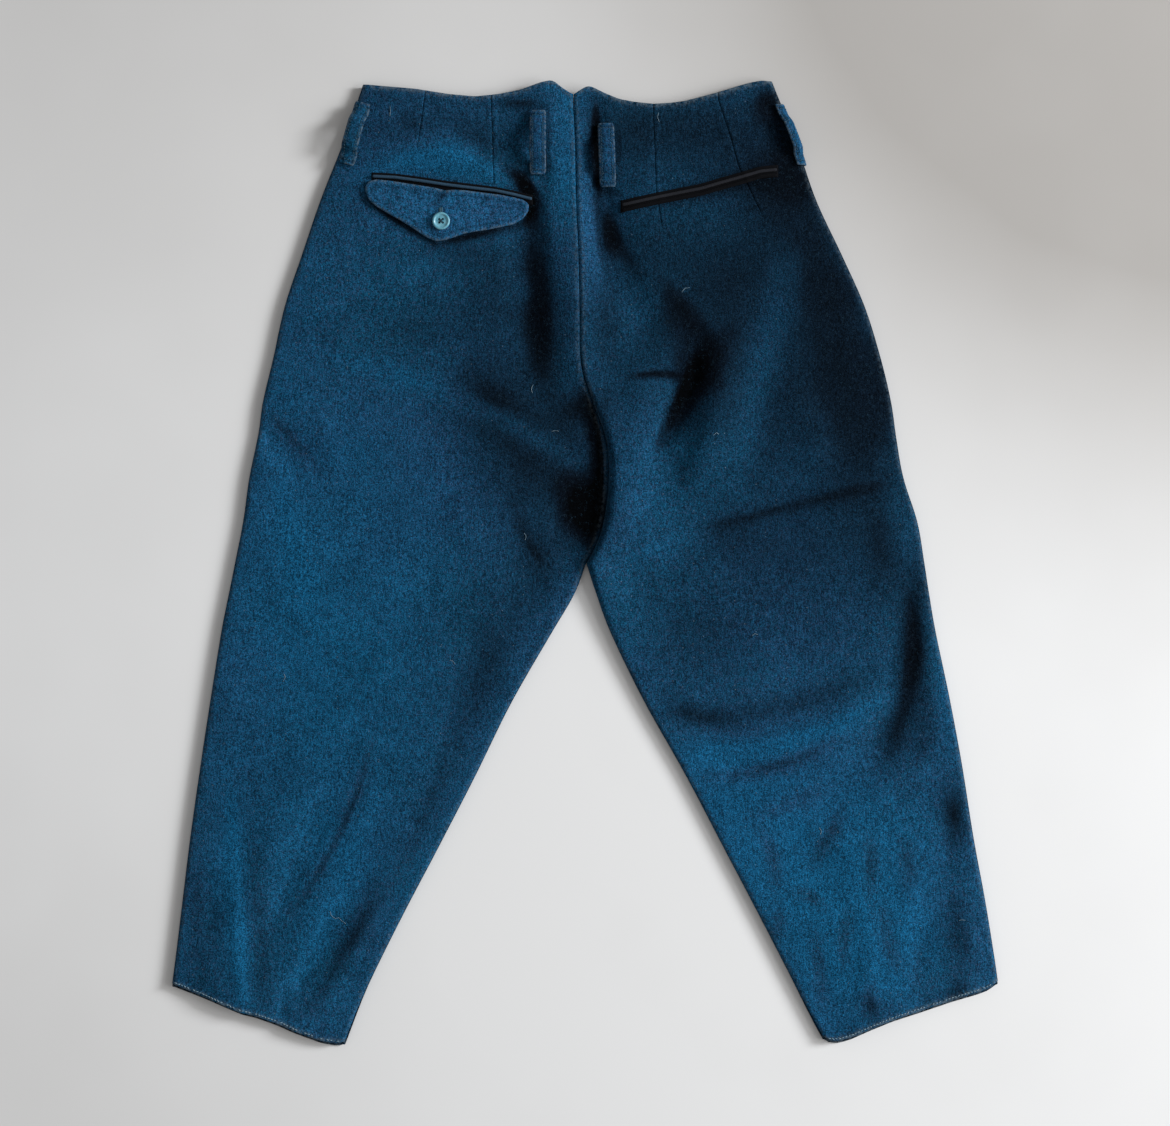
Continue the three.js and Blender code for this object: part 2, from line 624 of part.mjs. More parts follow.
// ---- the trousers ----
const materials = {
  wool: new THREE.MeshStandardMaterial({ color: colours.wool, roughness: 0.95, metalness: 0 }),
  welt: new THREE.MeshStandardMaterial({ color: colours.welt, roughness: 0.9, metalness: 0 }),
  button: new THREE.MeshStandardMaterial({ color: colours.button, roughness: 0.35, metalness: 0 }),
};

const trousers = new THREE.Group();
const add = (name, geometry, material) => {
  const mesh = new THREE.Mesh(geometry, material);
  mesh.name = name;
  trousers.add(mesh);
  return mesh;
};

for (const name of Object.keys(panels)) add(name, made[name].geometry, materials.wool);
add("flap_left", flap.geometry, materials.wool);
for (const [name, given] of Object.entries(welts)) add(name, makeWelt(given), materials.welt);
for (const [name, given] of Object.entries(loops)) add(name, makeLoop(given), materials.wool);

// The button sits on the flap, square to its face.
const buttonPlace = { x: -125, y: 297.5 };
const slopeOf = (dx, dy) => {
  const [a, b] = [-5, 5].map((s) => heightAt(flap.face, buttonPlace.x + s * dx, buttonPlace.y + s * dy));
  return (b - a) / 10;
};
const button = add("pocket_button", await makeButton(), materials.button);
const flapNormal = new THREE.Vector3(-slopeOf(1, 0), -slopeOf(0, 1), 1).normalize();
const flapTop = heightOver(flap.face, buttonPlace.x, buttonPlace.y, 3);
button.quaternion.setFromUnitVectors(upwards, flapNormal);
button.position.set(buttonPlace.x, buttonPlace.y, flapTop + restGap);

export default trousers;
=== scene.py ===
import math

import bpy
import numpy as np
from mathutils import Matrix, Vector, noise
from mathutils.bvhtree import BVHTree


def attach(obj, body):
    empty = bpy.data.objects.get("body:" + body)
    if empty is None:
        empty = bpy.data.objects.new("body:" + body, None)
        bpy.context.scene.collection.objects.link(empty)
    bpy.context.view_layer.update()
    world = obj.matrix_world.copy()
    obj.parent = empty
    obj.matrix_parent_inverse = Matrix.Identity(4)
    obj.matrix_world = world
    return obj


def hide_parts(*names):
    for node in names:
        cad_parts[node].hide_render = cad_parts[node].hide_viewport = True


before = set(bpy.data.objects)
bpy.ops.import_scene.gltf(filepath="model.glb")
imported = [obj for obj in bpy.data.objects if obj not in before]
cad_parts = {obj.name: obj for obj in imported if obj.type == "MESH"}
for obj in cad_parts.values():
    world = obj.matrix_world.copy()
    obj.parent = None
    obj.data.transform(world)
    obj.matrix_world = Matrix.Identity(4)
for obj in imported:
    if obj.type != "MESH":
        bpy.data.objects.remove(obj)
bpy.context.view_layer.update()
print("frame loaded")

# Lengths below are in millimetres and turn into metres when a mesh is made.
millimetre = 0.001

cloth = {
    "thick": 2.0,  # fulled wool
    "seamGap": 0.3,  # between two panels along a seam
    "layGap": 0.5,  # least gap between back and front
    "restGap": 0.45,  # under whatever is sewn onto the back
    "edgeHeight": 7.0,  # of the rolled side edges and inseams
    "edgeRoll": 4.5,
    "sideSpread": 28.0,
    "frontDrop": 12.0,  # front waist below the back waist at the centre
    "hemLap": 2.8,  # front hem beyond the back hem
    "ridgeBroad": 15.0,  # the centre ridge fades more slowly on its left
    "edgeReach": 55.0,  # how far the waist and hem outlines bend the rows
    "foldMargin": 13.0,
    "creaseMargin": 5.0,
    "edgeRound": 0.9,  # bulge of the waist and hem edges
}
seams = {
    "depth": 0.8,  # how far both panels dive into a seam
    "width": 1.2,
    "dartDepth": 0.7,
    "dartWidth": 0.8,
    "dartLip": 0.4,  # the pressed side of a dart stands this much higher
    "lipFrom": 1.6,
    "lipWidth": 1.5,
    "pucker": 0.16,
    "puckerEvery": 8.0,
    "puckerFrom": 6.0,
    "puckerWidth": 4.0,
    "puckerWander": 30.0,
    "wear": 0.35,
    "wearFrom": 2.5,
    "wearWidth": 1.6,
    "endWearWidth": 2.2,  # at the waist and the hem
}
relief = {
    "foldGain": 1.25,
    "creaseGain": 1.5,
    "broad": 0.45,  # slow waviness of the cloth that lies on the other layer
    "broadSize": 46.0,
    "fine": 0.22,
    "fineSize": 15.0,
    "hollowReach": 5,  # cells over which a hollow is told from its surroundings
    "hollowDepth": 2.2,
    "edgeCalm": 9.0,  # the waviness stops this near to an edge
}
spacing = {"back": 2.7, "front": 7.0, "backRow": 2.75, "frontRow": 9.0}

half = cloth["thick"] / 2
seamLevel = cloth["edgeHeight"] / 2


def rowsOf(columns, *rows):
    return dict(zip(columns.split(), np.array(rows, float).T))


# x and y place a seam, level is the height of the wall's middle there, crest its height just past the
# seam, spread how far in the crest fades, and lean is 1 where the wall stands upright at the seam.
centreSeam = rowsOf(
    "x y level crestLeft crestRight spread leanRight",
    (-10, 407, 8.6, 8.6, 8.6, 20, 0),
    (-8, 363, 10.0, 10.0, 10.0, 20, 0),
    (-7, 316, 11.5, 11.5, 11.5, 19, 0),
    (-5, 269, 12.5, 12.5, 12.5, 18, 0),
    (-4, 222, 12.5, 12.5, 12.5, 18, 0),
    (-3, 175, 10.5, 10.5, 10.8, 18, 0),
    (6, 142, 7.5, 7.5, 12.0, 20, 0.7),
    (18, 107, 5.4, 5.4, 14.0, 22, 1),
    (20, 69, 4.9, 4.9, 15.0, 24, 1),
    (14, 29, 4.8, 5.0, 14.5, 24, 1),
    (1, 0, 4.8, 5.4, 12.5, 24, 1),
)
forkRow = len(centreSeam["x"]) - 1
inseamColumns = "x y level crest spread lean"
inseamLeft = rowsOf(
    inseamColumns,
    (1, 0, 4.8, 5.4, 24, 0),
    (-9, -27, seamLevel, 5.6, 26, 1),
    (-30, -63, seamLevel, 6.0, 30, 1),
    (-64, -122, seamLevel, 6.0, 30, 1),
    (-95, -185, seamLevel, 6.0, 30, 1),
    (-128, -249, seamLevel, 6.0, 30, 1),
    (-160, -310, seamLevel, 6.0, 30, 1),
    (-190, -371, seamLevel, 6.0, 30, 1),
    (-208.5, -415.5, seamLevel, 6.0, 30, 1),
)
inseamRight = rowsOf(
    inseamColumns,
    (1, 0, 4.8, 12.5, 24, 1),
    (9.5, -27, seamLevel, 9.5, 26, 1),
    (23, -63, seamLevel, 7.4, 30, 1),
    (52, -122, seamLevel, 6.4, 30, 1),
    (87.5, -185, seamLevel, 6.0, 30, 1),
    (121, -249, seamLevel, 6.0, 30, 1),
    (153, -310, seamLevel, 6.0, 30, 1),
    (184.5, -371, seamLevel, 6.0, 30, 1),
    (206.5, -410.5, seamLevel, 6.0, 30, 1),
)
# lay is the height of the wall's middle across a back panel
sideLeft = rowsOf(
    "x y lay",
    (-194, 416.5, 8.4),
    (-211, 367, 8.2),
    (-231, 316, 7.6),
    (-247, 269, 7.0),
    (-262, 224, 6.6),
    (-272, 179, 6.4),
    (-281, 141, 6.2),
    (-285, 113, 6.0),
    (-293, 74, 5.8),
    (-298, 38, 5.6),
    (-304, 7, 5.4),
    (-310, -23, 5.2),
    (-317, -58, 5.0),
    (-326, -114, 5.0),
    (-335, -173, 5.2),
    (-344, -236, 5.8),
    (-351, -293, 6.8),
    (-357, -342, 8.0),
    (-360, -365, 8.4),
)
sideRight = rowsOf(
    "x y lay",
    (163.5, 420.5, 8.4),
    (184, 368, 8.2),
    (202, 316, 7.6),
    (224, 269, 7.0),
    (244, 224, 6.8),
    (258, 179, 7.0),
    (267, 141, 7.4),
    (272, 107, 7.4),
    (278, 74, 7.0),
    (290, 36, 6.4),
    (296, 1, 5.8),
    (300, -25, 5.4),
    (306, -60, 5.2),
    (318, -117, 5.2),
    (329, -176, 5.2),
    (339, -239, 5.8),
    (349, -293, 6.8),
    (357, -342, 8.0),
    (360, -362.5, 8.4),
)

# rise of the waists and hems over a straight line, at shares from the inner to the outer edge
outlineColumns = "share rise"
waistLeft = rowsOf(
    outlineColumns,
    (0, 0), (0.05, 5), (0.1, 12), (0.16, 9), (0.25, 2), (0.36, -3), (0.47, -6), (0.6, -5), (0.75, -2), (1, 0),
)
waistRight = rowsOf(
    outlineColumns,
    (0, 0), (0.035, 4), (0.075, 7), (0.115, 3.5), (0.155, -0.6), (0.23, -7), (0.31, -10.6), (0.4, -13.4),
    (0.5, -13.6), (0.56, -13), (0.64, -10.6), (0.72, -8), (0.8, -4.8), (0.88, -1.6), (0.95, 0), (1, -1.5),
)
waistFront = rowsOf(outlineColumns, (0, 0), (0.25, -7), (0.5, -13), (0.75, -8), (1, -1))
hemLeft = rowsOf(
    outlineColumns,
    (0, 0), (0.03, -3.7), (0.13, -6.4), (0.29, -5.8), (0.4, -3.9), (0.52, -3.6), (0.6, -4.8), (0.69, -3.6),
    (0.81, -1.7), (1, 0),
)
hemRight = rowsOf(
    outlineColumns,
    (0, 0), (0.03, -6), (0.09, -8.8), (0.16, -9.1), (0.26, -7), (0.4, -4.9), (0.55, -4.7), (0.74, -3.9),
    (0.9, -4.4), (0.96, -3.6), (1, 0),
)

# x1 y1, bend x y, x2 y2, width left of the curve's direction, width right of it, height
folds = [
    (-34, 350, -66, 262, -42, 140, 19, 19, -3.2),  # left seat valley
    (18, 330, 22, 262, 54, 190, 16, 16, -3.0),  # right seat valley
    (-165, 352, -110, 352, -56, 346, 14, 14, 1.6),  # over the left pocket
    (93, 190, 81, 146, 60, 96, 14, 14, -5.6),  # fork fold
    (46, 170, 56, 110, 44, 20, 20, 20, 3.0),
    (122, 196, 122, 120, 92, 50, 19, 19, 4.6),
    (70, 36, 130, 34, 210, 66, 22, 22, -2.0),  # right thigh
    (90, 88, 140, 84, 222, 128, 24, 24, 2.0),
    (-74, 120, -100, 40, -66, -60, 36, 36, 2.6),  # left thigh
    (-272, 112, -258, 104, -232, 78, 15, 15, -1.8),  # left side
    (-262, 152, -248, 138, -214, 104, 17, 17, 1.8),
    (-207, -165, -232, -250, -285, -345, 15, 15, -2.4),  # left calf
    (-250, -180, -270, -250, -304, -330, 18, 18, 2.2),
    (-192, -275, -226, -330, -262, -396, 14, 14, -3.0),  # left hem
    (-322, -260, -318, -320, -312, -400, 15, 15, 1.8),
    (280, -24, 282, -90, 262, -150, 16, 16, -1.8),  # right side
    (112, -150, 170, -130, 258, -96, 20, 20, -1.8),  # right knee
    (92, -172, 160, -174, 240, -152, 24, 24, 2.0),
    (258, -152, 244, -190, 198, -228, 19, 19, -1.8),  # right calf
    (318, -240, 306, -300, 296, -374, 16, 16, -2.2),  # right hem
    (230, -270, 242, -330, 254, -404, 20, 20, 1.6),
]
creases = [
    (-33, 405, -34, 310, -27, 200, 12, 16, 2.5),  # the centre ridge leans to the right
    (10, 400, 9, 335, 14, 270, 7, 4, -1.8),
    (44, 395, 42, 335, 56, 275, 16, 20, 1.0),
    (-4, 92, -10, 60, -4, 22, 16, 12, -1.5),  # hollow left of the fork
    (14, 372, 13, 310, 24, 236, 7, 12, -2.6),  # steep side of the centre ridge
    (-38, 372, -40, 300, -30, 214, 16, 9, -1.2),
    (-52, 366, -40, 350, -34, 326, 9, 6, -2.0),  # beside the left flap
    (-150, 349, -110, 344, -66, 340, 7, 5, 0.8),
    (93, 180, 79, 146, 61, 102, 12, 5, -3.2),  # sharp edge of the fork fold
    (84, 172, 72, 140, 56, 104, 5, 7, 1.7),
    (34, 160, 62, 167, 90, 162, 3.5, 5, -1.3),  # short crease over the fork fold
    (66, 62, 62, 48, 44, 40, 7, 6, -1.0),
    (118, 150, 108, 110, 84, 66, 12, 9, 1.6),
    (64, 8, 110, 24, 186, 58, 9, 16, -1.6),  # right thigh
    (150, 70, 190, 76, 240, 100, 12, 14, -1.2),
    (170, 150, 200, 120, 214, 60, 18, 14, 1.3),
    (-28, 60, -20, 20, -6, -8, 14, 9, -1.2),  # left of the fork
    (-58, 30, -46, -30, -52, -96, 18, 18, -1.0),
    (-285, 116, -268, 104, -250, 78, 6, 8, -1.6),  # left side kink
    (-282, 58, -270, 46, -254, 40, 7, 7, -0.9),
    (-200, -150, -226, -232, -276, -318, 5, 9, -1.9),  # left calf
    (-214, -200, -232, -252, -262, -300, 6, 5, 0.9),
    (-206, -290, -228, -330, -252, -372, 4.5, 7, -2.2),  # left hem
    (-308, -262, -303, -318, -298, -396, 6, 6, 1.3),
    (-326, -270, -326, -310, -322, -352, 8, 8, -1.1),
    (-262, -368, -264, -386, -262, -406, 5, 5, -1.0),
    (283, -20, 284, -70, 276, -120, 7, 9, -1.7),  # right side
    (292, 60, 272, 70, 246, 74, 8, 8, -1.0),
    (100, -168, 162, -142, 240, -116, 10, 13, -1.3),  # right knee
    (150, -176, 190, -168, 246, -132, 9, 12, 1.1),
    (262, -146, 250, -180, 214, -214, 9, 12, -1.4),  # right calf
    (180, -236, 196, -260, 230, -262, 10, 12, -0.9),
    (300, -286, 292, -330, 284, -372, 9, 11, -1.3),  # right hem
    (190, -330, 206, -356, 214, -396, 9, 9, -0.8),
    (330, -300, 334, -330, 342, -350, 8, 8, 0.9),
    (246, -300, 250, -340, 240, -376, 9, 8, 1.0),
]
foldSteps = 10

# darts of the back, as lines from the waist down
darts = {
    "left": [
        {"line": [(-139.2, 412), (-146.2, 359.7)], "strength": 0.7},
        {"line": [(-81.8, 410), (-80.5, 366), (-79.2, 327.6)], "strength": 1.0},
    ],
    "right": [
        {"line": [(59.2, 405), (61.8, 325), (67, 291.9)], "strength": 1.0},
        {"line": [(115.7, 412), (133.1, 346.7), (154, 303.2)], "strength": 1.0},
    ],
}
pleats = [{"share": 0.36, "length": 200.0}, {"share": 0.6, "length": 170.0}]
pleatShape = {"depth": 1.4, "width": 24.0, "lip": 0.006}


def mix(a, b, t):
    return a + (b - a) * t


def smooth(t):
    t = np.clip(t, 0, 1)
    return t * t * (3 - 2 * t)


def fade(distance, width):
    return np.exp(-((distance / width) ** 2))


def softMax(a, b, rounding):
    return b + rounding * np.logaddexp(0, (a - b) / rounding)


def rowAt(rows, place):
    # a smooth curve through the rows of a table
    last = len(rows["x"]) - 1
    i = np.clip(np.floor(place).astype(int), 0, last - 1)
    t = place - i
    found = {}
    for name, values in rows.items():
        a, b, c, d = (values[np.clip(i + k, 0, last)] for k in (-1, 0, 1, 2))
        found[name] = b + 0.5 * t * (c - a + t * (2 * a - 5 * b + 4 * c - d + t * (3 * (b - c) + d - a)))
    return found


def riseAt(rows, share):
    # the outline with its corners eased
    offsets = (-0.016, -0.008, 0, 0.008, 0.016)
    return sum(np.interp(share + o, rows["share"], rows["rise"]) for o in offsets) / len(offsets)


def foldRise(fold, x, y):
    x1, y1, bendX, bendY, x2, y2, widthLeft, widthRight, height = fold
    reach = 3 * max(widthLeft, widthRight)
    rise = np.zeros(x.shape)
    near = (x > min(x1, bendX, x2) - reach) & (x < max(x1, bendX, x2) + reach)
    near &= (y > min(y1, bendY, y2) - reach) & (y < max(y1, bendY, y2) + reach)
    px, py = x[near], y[near]
    t = np.linspace(0, 1, foldSteps + 1)
    curveX = mix(mix(x1, bendX, t), mix(bendX, x2, t), t)
    curveY = mix(mix(y1, bendY, t), mix(bendY, y2, t), t)
    nearest = np.full(px.shape, np.inf)
    along = np.zeros(px.shape)
    toLeft = np.zeros(px.shape, bool)
    for i in range(foldSteps):
        dx, dy = curveX[i + 1] - curveX[i], curveY[i + 1] - curveY[i]
        fromX, fromY = px - curveX[i], py - curveY[i]
        s = np.clip((fromX * dx + fromY * dy) / (dx * dx + dy * dy), 0, 1)
        distance = np.hypot(fromX - s * dx, fromY - s * dy)
        closer = distance < nearest
        nearest = np.where(closer, distance, nearest)
        along = np.where(closer, (i + s) / foldSteps, along)
        toLeft = np.where(closer, dx * fromY - dy * fromX > 0, toLeft)
    width = np.where(toLeft, widthLeft, widthRight)
    rise[near] = height * fade(nearest, width) * np.sin(np.pi * mix(0.1, 0.9, along))
    return rise


def waviness(x, y, size, seed):
    points = np.stack([x / size, y / size], -1).reshape(-1, 2)
    values = [noise.noise(Vector((a, b, seed))) for a, b in points]
    return np.array(values).reshape(x.shape)


def innerOfBack(inseam, side):
    def at(place):
        above = rowAt(centreSeam, np.minimum(place, forkRow))
        below = rowAt(inseam, np.maximum(place - forkRow, 0))
        isBelow = place > forkRow
        row = {name: np.where(isBelow, below[name], above[name]) for name in ("x", "y", "level", "spread")}
        if side == "Left":
            row["spread"] = row["spread"] + cloth["ridgeBroad"] * (1 - smooth(place / 5))
        row["crest"] = np.where(isBelow, below["crest"], above["crest" + side])
        leanAbove = above["leanRight"] if side == "Right" else 0 * place
        row["lean"] = np.clip(np.where(isBelow, below["lean"], leanAbove), 0, 1)
        row["level"] = row["level"] + np.where(isBelow, cloth["seamGap"] / 2 * row["lean"], 0)
        return row

    return at


def innerOfFront(inseam):
    def at(place):
        below = rowAt(inseam, np.maximum(place - forkRow, 0))
        isBelow = place > forkRow
        t = np.minimum(place / forkRow, 1)
        straightX = mix(centreSeam["x"][0], centreSeam["x"][forkRow], t)
        straightY = mix(centreSeam["y"][0] - cloth["frontDrop"], centreSeam["y"][forkRow], t)
        lean = np.clip(place - forkRow, 0, 1)
        level = mix(half, seamLevel - cloth["seamGap"] / 2, lean)
        x = np.where(isBelow, below["x"], straightX)
        y = np.where(isBelow, below["y"], straightY)
        return {"x": x, "y": y, "level": level, "crest": level, "spread": 0 * place + 1, "lean": lean}

    return at


panels = {
    "back_left": {"side": -1, "up": 1, "outer": sideLeft, "inner": innerOfBack(inseamLeft, "Left"),
                  "waist": waistLeft, "hem": hemLeft, "darts": darts["left"], "seed": 3.1},
    "back_right": {"side": 1, "up": 1, "outer": sideRight, "inner": innerOfBack(inseamRight, "Right"),
                   "waist": waistRight, "hem": hemRight, "darts": darts["right"], "seed": 11.7},
    "front_left": {"side": -1, "up": -1, "outer": sideLeft, "inner": innerOfFront(inseamLeft),
                   "waist": waistFront, "hem": hemLeft, "darts": [], "seed": 0.0},
    "front_right": {"side": 1, "up": -1, "outer": sideRight, "inner": innerOfFront(inseamRight),
                    "waist": waistFront, "hem": hemRight, "darts": [], "seed": 0.0},
}


def sectionsAt(panel, place):
    last = len(panel["outer"]["x"]) - 1
    outer = rowAt(panel["outer"], place)
    inner = panel["inner"](place)
    innerRoll = np.maximum(cloth["edgeRoll"], 0.8 * (inner["crest"] - inner["level"]))
    across = np.stack([outer["x"] - inner["x"], outer["y"] - inner["y"]], -1)
    length = np.linalg.norm(across, axis=-1)
    across = across / length[:, None]
    before = panel["inner"](np.maximum(0, place - 0.25))
    after = panel["inner"](np.minimum(last, place + 0.25))
    along = np.stack([after["x"] - before["x"], after["y"] - before["y"]], -1)
    along = along / np.linalg.norm(along, axis=-1)[:, None]
    slant = np.abs(across[:, 0] * along[:, 1] - across[:, 1] * along[:, 0])
    inset = (cloth["seamGap"] / 2 + half * inner["lean"]) / slant
    start = np.stack([inner["x"], inner["y"]], -1) + across * inset[:, None]
    return {"inner": inner, "roll": innerRoll, "across": across, "start": start,
            "width": length - inset - half, "lay": outer["lay"]}


rollAngles = np.radians([0, 9, 18, 28, 39, 51, 64, 77, 90])
dartCluster = np.array([-2.6, -1.5, -0.8, -0.35, 0, 0.35, 0.8, 1.5, 2.6])


def dartDistances(panel, sections):
    # how far along each section its darts run, ordered from the inner edge
    found = []
    rows = len(sections["width"])
    for dart in panel["darts"]:
        line = np.array(dart["line"])[::-1]
        d = np.zeros(rows)
        y = sections["start"][:, 1]
        for _ in range(4):
            x = np.interp(y, line[:, 1], line[:, 0])
            d = (x - sections["start"][:, 0]) / sections["across"][:, 0]
            y = sections["start"][:, 1] + sections["across"][:, 1] * d
        share = d / sections["width"]
        bottom = line[0, 1]
        end = np.nonzero(y >= bottom)[0][-1]
        share[end:] = share[end]
        found.append({"d": share * sections["width"], "bottom": bottom, "strength": dart["strength"]})
    return sorted(found, key=lambda dart: dart["d"][0])


def columnsOf(panel, sections, fine):
    # distances along each section, clustered at the darts, or at the folds of the pleats
    width, roll = sections["width"], sections["roll"]
    inner = roll[:, None] * (1 - np.cos(rollAngles))
    outer = width[:, None] - (cloth["edgeRoll"] * (1 - np.cos(rollAngles)))[::-1]
    dartLines = dartDistances(panel, sections)
    clusters = [dart["d"][:, None] + dartCluster for dart in dartLines]
    if panel["up"] < 0:
        inside = width - cloth["edgeRoll"] - roll
        for pleat in pleats:
            fold = roll + inside * pleat["share"]
            lip = inside * pleatShape["lip"]
            clusters.append(fold[:, None] + lip[:, None] * np.array([-1, 0, 0.3, 0.6, 1, 2]))
    pieces = [inner]
    start = roll
    for cluster in [*clusters, None]:
        end = cluster[:, 0] if cluster is not None else width - cloth["edgeRoll"]
        count = max(2, int(round(np.mean(end - start) / fine)))
        t = np.arange(1, count) / count
        pieces.append(start[:, None] + (end - start)[:, None] * t)
        if cluster is not None:
            pieces.append(cluster)
            start = cluster[:, -1]
    pieces.append(outer)
    return np.concatenate(pieces, 1), dartLines


def edgeRise(level, crest, roll, spread, lay, distance):
    turned = np.sqrt(1 - (1 - np.clip(distance / roll, 0, 1)) ** 2)
    return mix(level, crest, turned) - crest + (crest - lay) * fade(distance, spread)


def backLevel(panel, sections, point, dartLines):
    inner, lay = sections["inner"], sections["lay"][:, None]
    column = {name: inner[name][:, None] for name in ("level", "crest", "spread")}
    x, y, fromInner, fromOuter = point["x"], point["y"], point["fromInner"], point["fromOuter"]
    roll = sections["roll"][:, None]
    level = lay + edgeRise(column["level"], column["crest"], roll, column["spread"], lay, fromInner)
    outerLevel, outerCrest = seamLevel + cloth["seamGap"] / 2, cloth["edgeHeight"] - half
    level = level + edgeRise(outerLevel, outerCrest, cloth["edgeRoll"], cloth["sideSpread"], lay, fromOuter)
    for margin, gain, several in (
        (cloth["foldMargin"], relief["foldGain"], folds),
        (cloth["creaseMargin"], relief["creaseGain"], creases),
    ):
        clear = (1 - fade(fromInner, margin)) * (1 - fade(fromOuter, margin))
        level = level + gain * clear * sum(foldRise(fold, x, y) for fold in several)
    clear = (1 - fade(fromInner, relief["edgeCalm"])) * (1 - fade(fromOuter, relief["edgeCalm"]))
    level = level + clear * relief["broad"] * waviness(x, y, relief["broadSize"], panel["seed"])
    level = level + clear * relief["fine"] * waviness(x, y, relief["fineSize"], panel["seed"] + 5)
    for distance in (fromInner, fromOuter):
        wander = 3 * waviness(x, y, seams["puckerWander"], panel["seed"] + 9)
        pucker = np.sin(2 * np.pi * y / seams["puckerEvery"] + wander)
        level = level + seams["pucker"] * pucker * fade(distance - seams["puckerFrom"], seams["puckerWidth"])
    for dart in dartLines:
        aside = (fromInner - dart["d"][:, None]) * panel["side"]
        shown = dart["strength"] * smooth((y - dart["bottom"] + 4) / 12)
        lip = fade(aside - seams["lipFrom"], seams["lipWidth"]) + 0.5 * fade(aside + 5, 5)
        level = level + shown * seams["dartLip"] * lip
        level = level - shown * seams["dartDepth"] * fade(aside, seams["dartWidth"])
    overPleats = pleatShape["depth"] * (1 - smooth(point["below"] / pleats[0]["length"]))
    lowest = cloth["thick"] + cloth["layGap"] + half + overPleats
    return mix(level, softMax(level, lowest, 0.4), smooth(fromOuter / cloth["edgeRoll"]))


def frontLevel(sections, point):
    def turnUp(level, roll, distance):
        return (level - half) * (1 - np.sqrt(1 - (1 - np.clip(distance / roll, 0, 1)) ** 2))

    roll = sections["roll"][:, None]
    level = half + turnUp(sections["inner"]["level"][:, None], roll, point["fromInner"])
    level = level + turnUp(seamLevel - cloth["seamGap"] / 2, cloth["edgeRoll"], point["fromOuter"])
    width = sections["width"][:, None]
    share = (point["fromInner"] - roll) / (width - cloth["edgeRoll"] - roll)
    for pleat in pleats:
        past = share - pleat["share"]
        step = smooth(past / pleatShape["lip"]) * (1 - smooth(past * width / pleatShape["width"]))
        shown = 1 - smooth(point["below"] / pleat["length"])
        level = level + pleatShape["depth"] * shown * step * (past > 0)
    return level


def blurred(values, reach):
    kernel = np.exp(-np.linspace(-1.6, 1.6, 2 * reach + 1) ** 2)
    kernel /= kernel.sum()
    for axis in (0, 1):
        pad = [(0, 0), (0, 0)]
        pad[axis] = (reach, reach)
        padded = np.pad(values, pad, "edge")
        values = np.apply_along_axis(lambda row: np.convolve(row, kernel, "valid"), axis, padded)
    return values


def normalsOf(points, up):
    along = np.empty_like(points)
    along[1:-1] = points[2:] - points[:-2]
    along[0], along[-1] = points[1] - points[0], points[-1] - points[-2]
    across = np.empty_like(points)
    across[:, 1:-1] = points[:, 2:] - points[:, :-2]
    across[:, 0], across[:, -1] = points[:, 1] - points[:, 0], points[:, -1] - points[:, -2]
    normals = np.cross(along, across)
    normals /= np.linalg.norm(normals, axis=-1, keepdims=True)
    return np.where((normals @ np.array(up, float))[..., None] < 0, -normals, normals)


def turnEdges(panel, points, normals, innerLean):
    # at a seam the wall stands at the edge's lean, so that two panels meet edge to edge
    for j, outwards, lean in ((0, -panel["side"], innerLean), (-1, panel["side"], np.ones(len(points)))):
        edge = points[:, j]
        along = np.gradient(edge, axis=0)
        along /= np.linalg.norm(along, axis=-1, keepdims=True)
        out = np.stack([along[:, 1], -along[:, 0], 0 * along[:, 0]], -1)
        out /= np.linalg.norm(out, axis=-1, keepdims=True)
        out = np.where((out[:, 0] * outwards < 0)[:, None], -out, out)
        up = np.array([0, 0, 1.0]) - along * along[:, 2:3]
        up /= np.linalg.norm(up, axis=-1, keepdims=True)
        upright = lean[:, None]
        normals[:, j] = out * upright + up * panel["up"] * np.sqrt(1 - upright**2)


def meshFrom(name, vertices, faces, attributes=None):
    mesh = bpy.data.meshes.new(name)
    mesh.from_pydata((np.asarray(vertices) * millimetre).tolist(), [], faces)
    mesh.polygons.foreach_set("use_smooth", np.ones(len(mesh.polygons), bool))
    for label, values in (attributes or {}).items():
        mesh.attributes.new(label, "FLOAT", "POINT").data.foreach_set("value", np.asarray(values, np.float32))
    mesh.update()
    piece = bpy.data.objects.new(name, mesh)
    bpy.context.scene.collection.objects.link(piece)
    return piece


